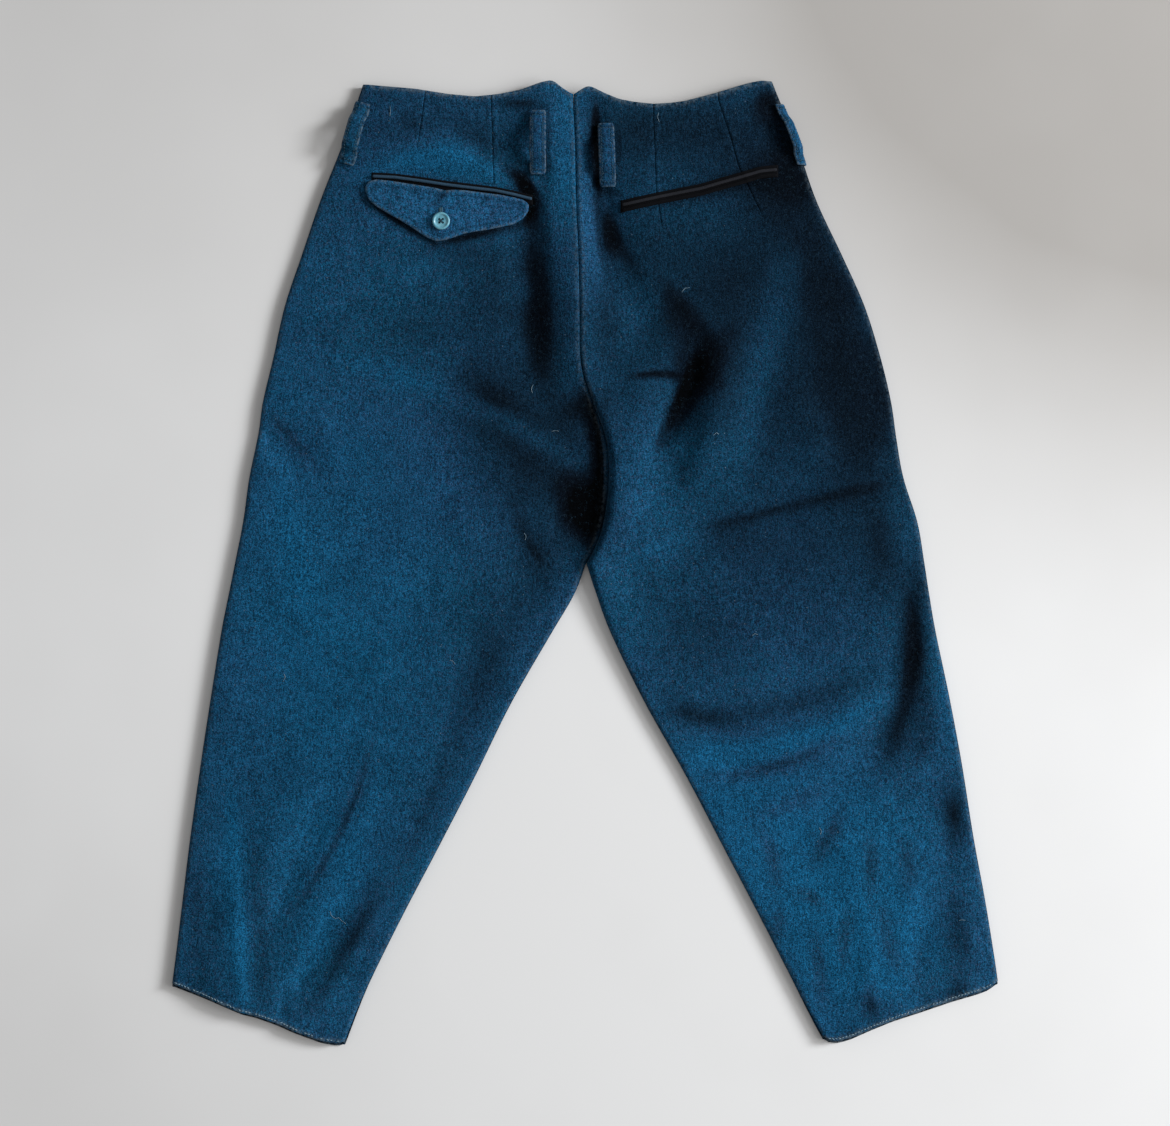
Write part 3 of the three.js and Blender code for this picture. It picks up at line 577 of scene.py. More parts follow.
def wallOf(name, middle, normals, thick, rounding, sunk=0.0, attributes=None):
    # a closed wall on both sides of its middle, with a rounded rim where rounding says so
    n, m = middle.shape[:2]
    sunk = np.broadcast_to(sunk, (n, m))[..., None]
    outer = (middle + normals * (thick / 2 - sunk)).reshape(-1, 3)
    inner = (middle - normals * thick / 2).reshape(-1, 3)
    index = np.arange(n * m).reshape(n, m)
    a, b, c, d = index[:-1, :-1], index[1:, :-1], index[1:, 1:], index[:-1, 1:]
    quads = np.stack([a, b, c, d], -1).reshape(-1, 4)
    ring = np.concatenate([index[0, :-1], index[:-1, -1], index[-1, :0:-1], index[:0:-1, 0]])
    inwards = np.zeros((n, m, 3))
    inwards[0] += middle[1] - middle[0]
    inwards[-1] += middle[-2] - middle[-1]
    inwards[:, 0] += middle[:, 1] - middle[:, 0]
    inwards[:, -1] += middle[:, -2] - middle[:, -1]
    outwards = -inwards.reshape(-1, 3)[ring]
    outwards /= np.linalg.norm(outwards, axis=-1, keepdims=True)
    bulge = np.zeros((n, m))
    bulge[[0, -1]] = rounding["ends"]
    bulge[:, [0, -1]] = rounding["sides"]
    bulge = bulge.reshape(-1)[ring][:, None]
    ringMiddle, ringNormal = middle.reshape(-1, 3)[ring], normals.reshape(-1, 3)[ring]
    rims = []
    for angle in np.radians([45, 90, 135]):
        rim = ringMiddle + ringNormal * math.cos(angle) * thick / 2
        rims.append(rim + outwards * bulge * math.sin(angle))
    count, around = n * m, len(ring)
    rings = [ring, *[2 * count + k * around + np.arange(around) for k in range(3)], count + ring]
    faces = [quads, (quads + count)[:, ::-1]]
    for upper, lower in zip(rings, rings[1:]):
        faces.append(np.stack([upper, np.roll(upper, -1), np.roll(lower, -1), lower], -1))
    faces = np.concatenate(faces)
    sample = middle[n // 2 : n // 2 + 2, m // 2 : m // 2 + 2]
    turn = np.cross(sample[1, 0] - sample[0, 0], sample[1, 1] - sample[0, 0]) @ normals[n // 2, m // 2]
    if turn < 0:
        faces = faces[:, ::-1]
    vertices = np.concatenate([outer, inner, *rims])
    spread = {}
    for label, values in (attributes or {}).items():
        flat = np.broadcast_to(values, (n, m)).reshape(-1)
        spread[label] = np.concatenate([flat, flat, flat[ring], flat[ring], flat[ring]])
    return meshFrom(name, vertices, faces.tolist(), spread)


def makePanel(name):
    panel = panels[name]
    isBack = panel["up"] > 0
    last = len(panel["outer"]["x"]) - 1
    length = np.abs(np.diff(panel["outer"]["y"])).sum()
    count = int(length / spacing["backRow" if isBack else "frontRow"])
    place = np.linspace(0, last, count)
    sections = sectionsAt(panel, place)
    d, dartLines = columnsOf(panel, sections, spacing["back" if isBack else "front"])
    width = sections["width"][:, None]
    start, across = sections["start"], sections["across"]
    x = start[:, :1] + across[:, :1] * d
    y = start[:, 1:] + across[:, 1:] * d
    share = d / width
    waistLine = start[0, 1] + across[0, 1] * sections["width"][0] * share
    hemLine = start[-1, 1] + across[-1, 1] * sections["width"][-1] * share
    below, above = waistLine - y, y - hemLine
    lap = 0 if isBack else cloth["hemLap"]
    y = y + riseAt(panel["waist"], share) * (1 - smooth(below / cloth["edgeReach"]))
    y = y + (riseAt(panel["hem"], share) - lap) * (1 - smooth(above / cloth["edgeReach"]))
    point = {"x": x, "y": y, "below": below, "fromInner": d, "fromOuter": width - d}
    if isBack:
        z = backLevel(panel, sections, point, dartLines)
    else:
        z = frontLevel(sections, point)
    middle = np.stack([x, y, z], -1)
    normals = normalsOf(middle, (0, 0, panel["up"]))
    turnEdges(panel, middle, normals, sections["inner"]["lean"])
    steps = np.linalg.norm(np.diff(middle, axis=1), axis=-1)
    fromStart = np.concatenate([np.zeros((count, 1)), np.cumsum(steps, 1)], 1)
    fromEnd = fromStart[:, -1:] - fromStart
    sunk = seams["depth"] * (fade(fromStart, seams["width"]) + fade(fromEnd, seams["width"]))
    # how far the cloth lies under or over its surroundings, from which the material paints shade in hollows
    # and highlight on ridges
    hollow = np.clip((z - blurred(z, relief["hollowReach"])) / relief["hollowDepth"], -1, 1)
    ends = np.minimum(np.abs(below), np.abs(above))
    fromSeam = np.minimum(fromStart, fromEnd)
    seamWear = seams["wear"] * fade(fromSeam - seams["wearFrom"], seams["wearWidth"])
    worn = np.maximum(fade(ends, seams["endWearWidth"]), seamWear)
    rounding = {"ends": cloth["edgeRound"], "sides": 0.0}
    attributes = {"hollow": hollow, "worn": worn}
    piece = wallOf(name + "_cloth", middle, normals, cloth["thick"], rounding, sunk, attributes)
    face = middle + normals * (cloth["thick"] / 2 - sunk[..., None])
    return {"piece": piece, "face": face}


made = {name: makePanel(name) for name in panels}
print("panels made", {name: len(each["piece"].data.polygons) for name, each in made.items()})

strips = {
    "weltThick": 1.8,
    "weltRounding": 0.7,
    "weltTurn": 1.7,  # the rounded sides add this many thicknesses to half the girth
    "mouthThick": 0.3,
    "mouthGap": 0.06,
    "leastCut": 10.5,  # a narrow strip is cut from a wider piece, and only what shows of it is built
}
mouthLines = {
    "left": rowsOf(
        "x y",
        (-184, 337.5), (-165, 336.5), (-143, 333.5), (-120, 330), (-99, 327.5), (-78, 325), (-62, 321.8),
        (-47, 318),
    ),
    "right": rowsOf(
        "x y",
        (33, 311), (49, 314.5), (65, 318), (82, 321.5), (100, 325), (117, 330), (135, 335), (152, 340),
        (166, 341.5),
    ),
}
welts = {
    "welt_left": {"side": "left", "offset": -0.8, "width": 1.0, "crown": 0.5, "finish": "teal"},
    "welt_right_upper": {"side": "right", "offset": 0.9, "width": 1.1, "crown": 0.6, "finish": "brown"},
    # the lower right welt takes the near-black of the pocket mouths, as painted shade of the slot
    "welt_right_lower": {"side": "right", "offset": -3.9, "width": 0.9, "crown": 0.1, "finish": "dark"},
}
# painted shade: near-black sheets stand for the shade inside each pocket's mouth, on both sides of its welts
mouthShadeSheets = {
    "pocket_mouth_shade_left": {"side": "left", "offset": -1.7, "width": 8.6, "longer": 1.5},
    "pocket_mouth_shade_right": {"side": "right", "offset": -0.2, "width": 10.6, "longer": 2.0},
}
flapShape = rowsOf(
    "x top bottom",
    (-190, 328.5, 321.5),
    (-187, 331.6, 316),
    (-181, 332.8, 311),
    (-171, 331.8, 305),
    (-161, 330.4, 299.5),
    (-152, 329.0, 294),
    (-144, 327.7, 288.5),
    (-137, 326.6, 284),
    (-130, 325.4, 281),
    (-122, 323.4, 282),
    (-114, 323.9, 284.5),
    (-106, 323.5, 287.5),
    (-98, 322.6, 289),
    (-88, 321.3, 290.5),
    (-75, 319.7, 293),
    (-62, 317.4, 296),
    (-54, 315.4, 301),
    (-50, 312.6, 306),
)
flapRelief = {
    "thick": 2.4,
    "rim": 0.45,
    "rimWidth": 1.7,
    "rimFade": 1.3,
    "groove": 0.3,
    "grooveFrom": 3.8,
    "grooveFade": 0.9,
    "grooveShade": 0.5,
    "waves": 0.25,
    "waveSize": 17.0,
    "wear": 0.9,
    "pucker": [(-120, 324, -125, 316, -136, 308, 3, 3, -1.0), (-125, 314, -126, 309, -125, 304, 4, 4, -0.5)],
    # painted shade and highlight along the flap's pucker
    "paintedStrokes": [
        (-119, 325, -124, 316, -137, 308, 2.2, 3, -0.55),
        (-126, 312, -127, 308, -125, 304, 2, 2, -0.6),
        (-110, 326, -114, 316, -121, 309, 4, 4, 0.45),
        (-140, 318, -136, 308, -134, 300, 6, 6, 0.35),
        (-66, 318, -60, 312, -56, 304, 5, 5, -0.3),
    ],
}
loopShape = {
    "width": 12.5,
    "thick": 2.2,
    "length": 54.0,
    "lift": 5.4,  # how far its middle stands off the back
    "foot": 8.0,
    "rise": 9.0,
    "eased": 0.12,  # the ends are this share narrower
    "crown": 0.7,
    "groove": 0.3,
    "grooveFrom": 2.2,
    "endGroove": 0.35,
    "endGrooveFrom": 3.0,
    "grooveShade": 1.3,
    "sideShade": 0.4,
    "sideShadeWidth": 2.6,
    "wear": 0.9,
    "endWear": 0.8,
}
loops = {
    "belt_loop_centre_left": {"side": "left", "start": (-41, 393), "end": (-41, 339), "lift": (0, 0, 1)},
    "belt_loop_centre_right": {"side": "right", "start": (18, 382), "end": (20, 328), "lift": (0, 0, 1)},
    "belt_loop_side_left": {"side": "left", "start": (-193, 400), "end": (-207.5, 348), "lift": (-0.2, 0, 1)},
    "belt_loop_side_right": {
        "side": "right", "start": (170, 399), "end": (186, 347), "lift": (0.25, 0, 1), "wraps": True,
    },
}
# a wrapped loop's section, from the back round the side seam to the front
wrap = rowsOf("out up", (-5, 9.2), (-1.4, 8.8), (1.1, 6.8), (1.85, 4.1), (1.85, 1.4))


def treeOf(face):
    n, m = face.shape[:2]
    index = np.arange(n * m).reshape(n, m)
    quads = np.stack([index[:-1, :-1], index[1:, :-1], index[1:, 1:], index[:-1, 1:]], -1).reshape(-1, 4)
    return BVHTree.FromPolygons(face.reshape(-1, 3).tolist(), quads.tolist())


backTrees = {side: treeOf(made["back_" + side]["face"]) for side in ("left", "right")}


def heightsOver(tree, x, y, reach=0.0):
    # the highest that a face comes within reach of each place
    around = ((0, 0), (reach, 0), (-reach, 0), (0, reach), (0, -reach)) if reach else ((0, 0),)
    down = Vector((0, 0, -1))
    x, y = np.broadcast_arrays(x, y)
    heights = np.empty(x.shape)
    for k in np.ndindex(x.shape):
        found = [tree.ray_cast(Vector((x[k] + dx, y[k] + dy, 100)), down)[0] for dx, dy in around]
        heights[k] = max((place.z for place in found if place is not None), default=-math.inf)
    return heights


def lineOf(line, count, longer=0.0):
    x = np.linspace(line["x"][0] - longer, line["x"][-1] + longer, count)
    y = np.interp(x, line["x"], line["y"])
    slope = (line["y"][1] - line["y"][0]) / (line["x"][1] - line["x"][0])
    y = np.where(x < line["x"][0], line["y"][0] + slope * (x - line["x"][0]), y)
    return x, blurred(y[:, None], 3)[:, 0]


def makeStrip(name, given, thick, gap, rounding):
    crown = given.get("crown", 0.0)
    x, y = lineOf(mouthLines[given["side"]], 110, given.get("longer", 0.0))
    s = np.linspace(-0.5, 0.5, 9)
    gridX = x[:, None] + 0 * s
    gridY = y[:, None] + given["offset"] + given["width"] * s
    tree = backTrees[given["side"]]
    z = heightsOver(tree, gridX, gridY, 1.2 if crown else 0.8)
    z = np.maximum(z, blurred(z, 2)) + gap + thick / 2 + crown * (1 - (2 * s) ** 2)
    middle = np.stack([gridX, gridY, z], -1)
    return wallOf(name, middle, normalsOf(middle, (0, 0, 1)), thick, {"ends": rounding, "sides": rounding})


def makeFlap():
    x = np.concatenate([
        np.linspace(-190, -181, 9)[:-1], np.linspace(-181, -58, 74)[:-1], np.linspace(-58, -50, 8),
    ])
    top = np.interp(x, flapShape["x"], flapShape["top"])
    bottom = np.interp(x, flapShape["x"], flapShape["bottom"])
    bottom[1:-1] = np.convolve(bottom, (0.25, 0.5, 0.25), "valid")
    s = np.linspace(0, 1, 30)
    gridX = x[:, None] + 0 * s
    gridY = mix(top[:, None], bottom[:, None], s)
    outline = np.concatenate([np.stack([x, top], -1), np.stack([x, bottom], -1)[::-1]])
    inside = np.full(gridX.shape, np.inf)
    for a, b in zip(outline, np.roll(outline, -1, 0)):
        along = b - a
        t = ((gridX - a[0]) * along[0] + (gridY - a[1]) * along[1]) / max(along @ along, 1e-9)
        t = np.clip(t, 0, 1)
        inside = np.minimum(inside, np.hypot(gridX - a[0] - t * along[0], gridY - a[1] - t * along[1]))
    under = heightsOver(backTrees["left"], gridX, gridY, 2.5)
    thick = flapRelief["thick"]
    z = np.maximum(under, blurred(under, 3)) + cloth["restGap"] + thick / 2
    z = z + flapRelief["rim"] * fade(inside - flapRelief["rimWidth"], flapRelief["rimFade"])
    z = z - flapRelief["groove"] * fade(inside - flapRelief["grooveFrom"], flapRelief["grooveFade"])
    z = z + flapRelief["waves"] * waviness(gridX, gridY, flapRelief["waveSize"], 2.2)
    for pucker in flapRelief["pucker"]:
        z = z + foldRise(pucker, gridX, gridY)
    z = np.maximum(z, under + cloth["restGap"] + thick / 2)
    middle = np.stack([gridX, gridY, z], -1)
    normals = normalsOf(middle, (0, 0, 1))
    # painted shade and highlight on the flap, and painted shade in its stitched groove
    lightShadePaint = sum(foldRise(stroke, gridX, gridY) for stroke in flapRelief["paintedStrokes"])
    lightShadePaint = lightShadePaint - flapRelief["grooveShade"] * fade(inside - flapRelief["grooveFrom"], 0.8)
    attributes = {"worn": flapRelief["wear"] * fade(inside, 1.0), "lightShadePaint": lightShadePaint}
    piece = wallOf("flap_left_cloth", middle, normals, thick, {"ends": 1.0, "sides": 1.0}, 0.0, attributes)
    return {"piece": piece, "face": middle + normals * thick / 2}


def makeLoop(name, given):
    length, width, thick = loopShape["length"], loopShape["width"], loopShape["thick"]
    start, end = np.array(given["start"], float), np.array(given["end"], float)
    direction = (end - start) / np.linalg.norm(end - start)
    along = np.linspace(0, length, 64)
    centre = start + along[:, None] * direction
    s = np.linspace(-0.5, 0.5, 13)
    fromEnd = np.minimum(along, length - along)
    eased = 1 - loopShape["eased"] * fade(fromEnd, 1.3)[:, None]
    tree = backTrees[given["side"]]
    if given.get("wraps"):
        face = made["back_" + given["side"]]["face"][:, -1]
        edgeX = np.interp(centre[:, 1], face[::-1, 1], face[::-1, 0])
        t = np.linspace(0, 1, 13)
        knots = np.linspace(0, 1, len(wrap["out"]))
        out, up = np.interp(t, knots, wrap["out"]), np.interp(t, knots, wrap["up"])
        out[1:-1], up[1:-1] = (np.convolve(v, (0.25, 0.5, 0.25), "valid") for v in (out, up))
        x = edgeX[:, None] + out
        y = centre[:, 1:] + 0 * s
        z = up + 0 * x
    else:
        x = centre[:, :1] + direction[1] * s * width * eased
        y = centre[:, 1:] - direction[0] * s * width * eased
        top = heightsOver(tree, x, y, 1.5).max(1, keepdims=True)
        z = np.maximum(top, blurred(top, 4)) + cloth["restGap"] + thick / 2
        z = z + loopShape["crown"] * (1 - (2 * s) ** 2)
    off = loopShape["lift"] * smooth((fromEnd - loopShape["foot"]) / loopShape["rise"])
    lift = np.array(given["lift"], float)
    lift /= np.linalg.norm(lift)
    middle = np.stack([x, y, z], -1) + off[:, None, None] * lift
    normals = normalsOf(middle, lift)
    fromSide = (0.5 - np.abs(s)) * width
    sunk = loopShape["groove"] * fade(fromSide - loopShape["grooveFrom"], 0.7)
    sunk = sunk + loopShape["endGroove"] * fade(fromEnd - loopShape["endGrooveFrom"], 0.8)[:, None]
    worn = loopShape["wear"] * fade(fromSide, 0.9)
    worn = np.maximum(worn, loopShape["endWear"] * fade(fromEnd, 0.9)[:, None])
    # painted shade: darker in the stitched grooves and along the loop's left side
    darkSide = fade(fromSide * np.where(s > 0, 1, 4), loopShape["sideShadeWidth"])
    lightShadePaint = -loopShape["grooveShade"] * sunk - loopShape["sideShade"] * darkSide
    rounding = {"ends": 0.8, "sides": 0.9}
    piece = wallOf(name + "_cloth", middle, normals, thick, rounding, sunk, {"worn": worn, "lightShadePaint": lightShadePaint})
    return {"piece": piece, "face": middle + normals * thick / 2}


weltPieces = {
    name: makeStrip(name + "_piping", given, strips["weltThick"], cloth["restGap"], strips["weltRounding"])
    for name, given in welts.items()
}
mouthShadePieces = {
    name: makeStrip(name, given, strips["mouthThick"], strips["mouthGap"], 0.0)
    for name, given in mouthShadeSheets.items()
}
flap = makeFlap()
loopPieces = {name: makeLoop(name, given) for name, given in loops.items()}
print("sewn pieces made")

button = {
    "x": -125.0,
    "y": 297.5,
    "across": 15.4,
    "thick": 2.8,
    "well": 1.0,  # depth of its middle under its rim
    "hole": 1.9,
    "holesApart": 3.1,
    "around": 96,
    "slopeOver": 10.0,  # the flap's slope under the button is taken over this width
    "reach": 4.0,
    "lift": 0.35,
}


def buttonProfile():
    r, t = button["across"] / 2, button["thick"]
    return [
        (0, 0), (r - 1.8, 0), (r - 1.0, 0.18), (r - 0.45, 0.55), (r - 0.1, 1.0), (r, 1.4), (r - 0.08, 1.9),
        (r - 0.35, t - 0.38), (r - 0.75, t - 0.1), (r - 1.2, t), (r - 1.65, t - 0.12), (r - 2.05, t - 0.42),
        (r - 2.5, t - 0.78), (r - 3.1, t - 0.96), (r - 4.0, t - button["well"]),
        (0, t - button["well"]),
    ]


def makeButton():
    profile = buttonProfile()
    count = button["around"]
    vertices = [(0, 0, profile[0][1])]
    for out, up in profile[1:-1]:
        angles = 2 * np.pi * np.arange(count) / count
        vertices += [(out * math.cos(a), out * math.sin(a), up) for a in angles]
    vertices.append((0, 0, profile[-1][1]))
    faces = []
    rings = len(profile) - 2
    for k in range(count):
        faces.append((0, 1 + (k + 1) % count, 1 + k))
        last = 1 + (rings - 1) * count
        faces.append((len(vertices) - 1, last + k, last + (k + 1) % count))
        for ring in range(rings - 1):
            a, b = 1 + ring * count, 1 + (ring + 1) * count
            faces.append((a + k, a + (k + 1) % count, b + (k + 1) % count, b + k))
    piece = meshFrom("pocket_button_turned", vertices, faces)
    apart = button["holesApart"] / 2 * millimetre
    drills = []
    for sx, sy in ((-1, -1), (1, -1), (1, 1), (-1, 1)):
        bpy.ops.mesh.primitive_cylinder_add(
            vertices=28,
            radius=button["hole"] / 2 * millimetre,
            depth=4 * button["thick"] * millimetre,
            location=(sx * apart, sy * apart, 0),
        )
        drill = bpy.context.object
        drills.append(drill)
        cut = piece.modifiers.new("hole", "BOOLEAN")
        cut.operation = "DIFFERENCE"
        cut.solver = "EXACT"
        cut.object = drill
    bpy.context.view_layer.update()
    evaluated = piece.evaluated_get(bpy.context.evaluated_depsgraph_get())
    cutMesh = bpy.data.meshes.new_from_object(evaluated)
    piece.modifiers.clear()
    piece.data = cutMesh
    for drill in drills:
        bpy.data.objects.remove(drill)
    cutMesh.set_sharp_from_angle(angle=math.radians(38))
    cutMesh.polygons.foreach_set("use_smooth", np.ones(len(cutMesh.polygons), bool))
    return piece


flapTree = treeOf(flap["face"])
nearButton = np.array([-0.5, 0.5]) * button["slopeOver"]
slopeX, slopeY = (
    np.diff(heightsOver(flapTree, button["x"] + dx * nearButton, button["y"] + dy * nearButton))[0]
    / button["slopeOver"]
    for dx, dy in ((1, 0), (0, 1))
)
buttonNormal = Vector((-slopeX, -slopeY, 1)).normalized()
buttonBase = heightsOver(flapTree, np.array([button["x"]]), np.array([button["y"]]), button["reach"])[0]
buttonBase = buttonBase + button["lift"]
buttonPlace = Matrix.Translation(Vector((button["x"], button["y"], buttonBase)) * millimetre)
buttonPlace = buttonPlace @ Vector((0, 0, 1)).rotation_difference(buttonNormal).to_matrix().to_4x4()
buttonPiece = makeButton()
buttonPiece.data.transform(buttonPlace)


def tubesOf(name, lines, radii, sides=5, flat=1.0):
    # closed tubes along lines of points, all in one mesh
    vertices, faces = [], []
    for line, radius in zip(lines, radii):
        line = np.asarray(line, float)
        radius = np.broadcast_to(radius, len(line))
        along = np.gradient(line, axis=0)
        along /= np.linalg.norm(along, axis=-1, keepdims=True)
        reference = np.array([0, 0, 1.0]) if abs(along[:, 2]).max() < 0.9 else np.array([1.0, 0, 0])
        aside = np.cross(along, reference)
        aside /= np.linalg.norm(aside, axis=-1, keepdims=True)
        upwards = np.cross(aside, along)
        first = len(vertices)
        for k in range(sides):
            angle = 2 * math.pi * k / sides
            ring = aside * math.cos(angle) + upwards * math.sin(angle) * flat
            vertices += (line + ring * radius[:, None]).tolist()
        n = len(line)
        for k in range(sides):
            a, b = first + k * n, first + (k + 1) % sides * n
            faces += [(a + i, b + i, b + i + 1, a + i + 1) for i in range(n - 1)]
        faces.append([first + k * n for k in range(sides)][::-1])
        faces.append([first + k * n + n - 1 for k in range(sides)])
    return meshFrom(name, vertices, faces)


stitching = {
    "hem": {"length": 2.4, "every": 2.9, "radius": 0.4, "sink": 0.05, "inset": 1.3},
    "loop": {"length": 1.9, "every": 2.7, "radius": 0.2, "sink": 0.02},
}
draws = np.random.default_rng(41)


def resampled(points, every):
    steps = np.concatenate([[0], np.cumsum(np.linalg.norm(np.diff(points, axis=0), axis=1))])
    at = np.arange(every / 2, steps[-1], every)
    return np.stack([np.interp(at, steps, points[:, k]) for k in range(3)], -1)


def stitchesAlong(points, given, keep=1.0, wander=0.0):
    # short raised threads one after another along a line
    centres = resampled(points, given["every"])
    ahead = resampled(points + np.gradient(points, axis=0), given["every"])
    lines, radii = [], []
    shape = np.array([-1, -0.6, 0, 0.6, 1]) / 2
    swell = np.array([0.35, 0.85, 1, 0.85, 0.35])
    for centre, further in zip(centres, ahead):
        if draws.random() > keep:
            continue
        along = further - centre
        along = along / max(np.linalg.norm(along), 1e-9)
        turn = wander * draws.normal()
        along = along + turn * np.array([-along[1], along[0], 0])
        length = given["length"] * draws.uniform(0.8, 1.1)
        line = centre + shape[:, None] * length * along
        line[:, 2] += given["radius"] * (1 - (2 * shape) ** 2) - given["sink"]
        lines.append(line)
        radii.append(swell * given["radius"])
    return lines, radii


def edgeRowOf(face, inset):
    # a line over a back's face, inset from its hem
    last, before = face[-1], face[-2]
    step = np.linalg.norm(last - before, axis=-1, keepdims=True)
    return last + (before - last) * inset / step


hemStitches = {}
for side in ("left", "right"):
    face = made["back_" + side]["face"]
    line = edgeRowOf(face, stitching["hem"]["inset"])[6:-6]
    lines, radii = stitchesAlong(line, stitching["hem"], keep=0.8, wander=0.3)
    hemStitches[side] = tubesOf("hem_stitches_" + side, lines, radii)

loopStitches = {}
for name, loop in loopPieces.items():
    face = loop["face"]
    lines, radii = [], []
    for row in (face[3:-3, 2], face[3:-3, -3], face[4, 2:-2], face[-5, 2:-2]):
        some = stitchesAlong(row, stitching["loop"])
        lines += some[0]
        radii += some[1]
    loopStitches[name] = tubesOf(name + "_stitches", lines, radii)

sewing = {"radius": 0.24, "aside": 0.22, "over": 0.25, "bow": 0.3, "dive": 1.2}
threadUp = button["thick"] - button["well"]
threadReach = button["holesApart"] / 2
threadLines, threadRadii = [], []
for sx, sy in ((1, 1), (1, -1)):
    for aside in (-sewing["aside"], sewing["aside"]):
        t = np.linspace(-1, 1, 11)
        offset = np.array([-sy, sx, 0]) * aside / math.sqrt(2)
        rise = threadUp + sewing["over"] + sewing["bow"] * (1 - t**4)
        rise = rise - sewing["dive"] * (np.abs(t) > 0.99)
        line = np.stack([sx * threadReach * t, sy * threadReach * t, rise], -1) + offset
        threadLines.append([tuple(buttonPlace @ (Vector(p) * millimetre) / millimetre) for p in line])
        threadRadii.append(sewing["radius"])
buttonThread = tubesOf("pocket_button_thread", threadLines, threadRadii, sides=8)

buttonhole = {
    "x": -125.2,
    "low": 303.6,
    "high": 309.2,
    "width": 1.5,
    "every": 0.42,
    "radius": 0.24,
    "swell": 0.22,
}
holeLines, holeRadii = [], []
for sideways in (-1, 1):
    for y in np.arange(buttonhole["low"], buttonhole["high"], buttonhole["every"]):
        t = np.linspace(0.1, 1, 4)
        x = buttonhole["x"] + sideways * buttonhole["width"] * t
        swell = buttonhole["swell"] * np.sin(np.pi * np.linspace(0.25, 0.9, 4))
        z = heightsOver(flapTree, x, y + 0 * t) + swell
        holeLines.append(np.stack([x, y + 0 * t, z], -1))
        holeRadii.append(buttonhole["radius"])
buttonholeThread = tubesOf("buttonhole_thread", holeLines, holeRadii)

# stray fibres that lie on the cloth
stray = {
    "radius": 0.17,
    "reach": 0.4,
    "lift": 0.2,
    "left": [
        [
            (-221.9, -302.9), (-221.2, -306.5), (-217.6, -309.6), (-214.6, -308.4), (-212.6, -310.8),
            (-208.5, -313.6),
        ],
        [(-169.7, 398), (-169.2, 394), (-169.8, 389)],
        [(-45.2, 155.6), (-46.8, 152), (-45.8, 148.2)],
        [(-52.8, 26.4), (-51.2, 23.6), (-52.0, 20.2)],
        [(-29, 115), (-26, 115.6), (-23, 115.2)],
        [(-262, -96), (-261, -99), (-263, -103)],
        [(-118, -84), (-115, -85), (-113, -88)],
    ],
    "right": [
        [(84, 236), (87, 239.5), (91, 240)],
        [(145.3, -63), (148, -61), (150.5, -62)],
        [(111, 111), (114, 113.4), (116, 112)],
        [(325.4, -310.8), (328, -310), (330.8, -310.6)],
        [(64, 392), (63, 388), (64.5, 384)],
        [(204, -230), (206, -233), (205, -236)],
    ],
}
strayFibres = {}
for side in ("left", "right"):
    lines, radii = [], []
    for points in stray[side]:
        points = np.array(points, float)
        t = np.linspace(0, len(points) - 1, 5 * len(points))
        x, y = (np.interp(t, np.arange(len(points)), points[:, k]) for k in range(2))
        x[1:-1], y[1:-1] = (np.convolve(v, (0.25, 0.5, 0.25), "valid") for v in (x, y))
        z = heightsOver(backTrees[side], x, y, stray["reach"]) + stray["lift"]
        lines.append(np.stack([x, y, z], -1))
        radii.append(np.full(len(t), stray["radius"]))
    strayFibres[side] = tubesOf("stray_fibres_" + side, lines, radii)
print("stitches made")


class Wires:
    # short helpers to place and join nodes in one tree
    def __init__(self, tree):
        self.tree = tree

    def node(self, kind, **settings):
        node = self.tree.nodes.new(kind)
        for name, value in settings.items():
            setattr(node, name, value)
        return node

    def join(self, source, target):
        self.tree.links.new(source, target)

    def put(self, value, socket):
        if isinstance(value, bpy.types.NodeSocket):
            self.join(value, socket)
        else:
            socket.default_value = value

    def math(self, operation, a, b=0.0, c=0.0, clamp=False):
        node = self.node("ShaderNodeMath", operation=operation, use_clamp=clamp)
        for value, socket in zip((a, b, c), node.inputs):
            self.put(value, socket)
        return node.outputs[0]

    def mapped(self, value, low, high, toLow=0.0, toHigh=1.0, kind="SMOOTHSTEP"):
        node = self.node("ShaderNodeMapRange", interpolation_type=kind)
        for given, socket in zip((value, low, high, toLow, toHigh), node.inputs):
            self.put(given, socket)
        return node.outputs[0]

    def noise(self, place, scale, detail=2.0, roughness=0.55, distortion=0.0):
        node = self.node("ShaderNodeTexNoise")
        self.put(place, node.inputs["Vector"])
        self.put(scale, node.inputs["Scale"])
        node.inputs["Detail"].default_value = detail
        node.inputs["Roughness"].default_value = roughness
        node.inputs["Distortion"].default_value = distortion
        return node.outputs["Fac"]

    def wave(self, place, scale, distortion):
        node = self.node("ShaderNodeTexWave")
        self.put(place, node.inputs["Vector"])
        self.put(scale, node.inputs["Scale"])
        node.inputs["Distortion"].default_value = distortion
        return node.outputs["Fac"]

    def bump(self, height, strength, depth, socket):
        node = self.node("ShaderNodeBump")
        node.inputs["Strength"].default_value = strength
        node.inputs["Distance"].default_value = depth
        self.join(height, node.inputs["Height"])
        self.join(node.outputs[0], socket)

    def colour(self, factor, a, b, blend="MIX"):
        node = self.node("ShaderNodeMix", data_type="RGBA", blend_type=blend)
        self.put(factor, node.inputs[0])
        self.put(a, node.inputs[6])
        self.put(b, node.inputs[7])
        return node.outputs[2]

    def scaled(self, place, amounts):
        node = self.node("ShaderNodeVectorMath", operation="MULTIPLY")
        self.put(place, node.inputs[0])
        self.put(amounts, node.inputs[1])
        return node.outputs[0]

    def moved(self, place, by):
        node = self.node("ShaderNodeVectorMath", operation="ADD")
        self.put(place, node.inputs[0])
        self.put(by, node.inputs[1])
        return node.outputs[0]

    def attribute(self, name):
        return self.node("ShaderNodeAttribute", attribute_name=name).outputs["Fac"]

    def group(self, group, values):
        node = self.node("ShaderNodeGroup")
        node.node_tree = group
        for name, value in values.items():
            self.put(value, node.inputs[name])
        return node.outputs


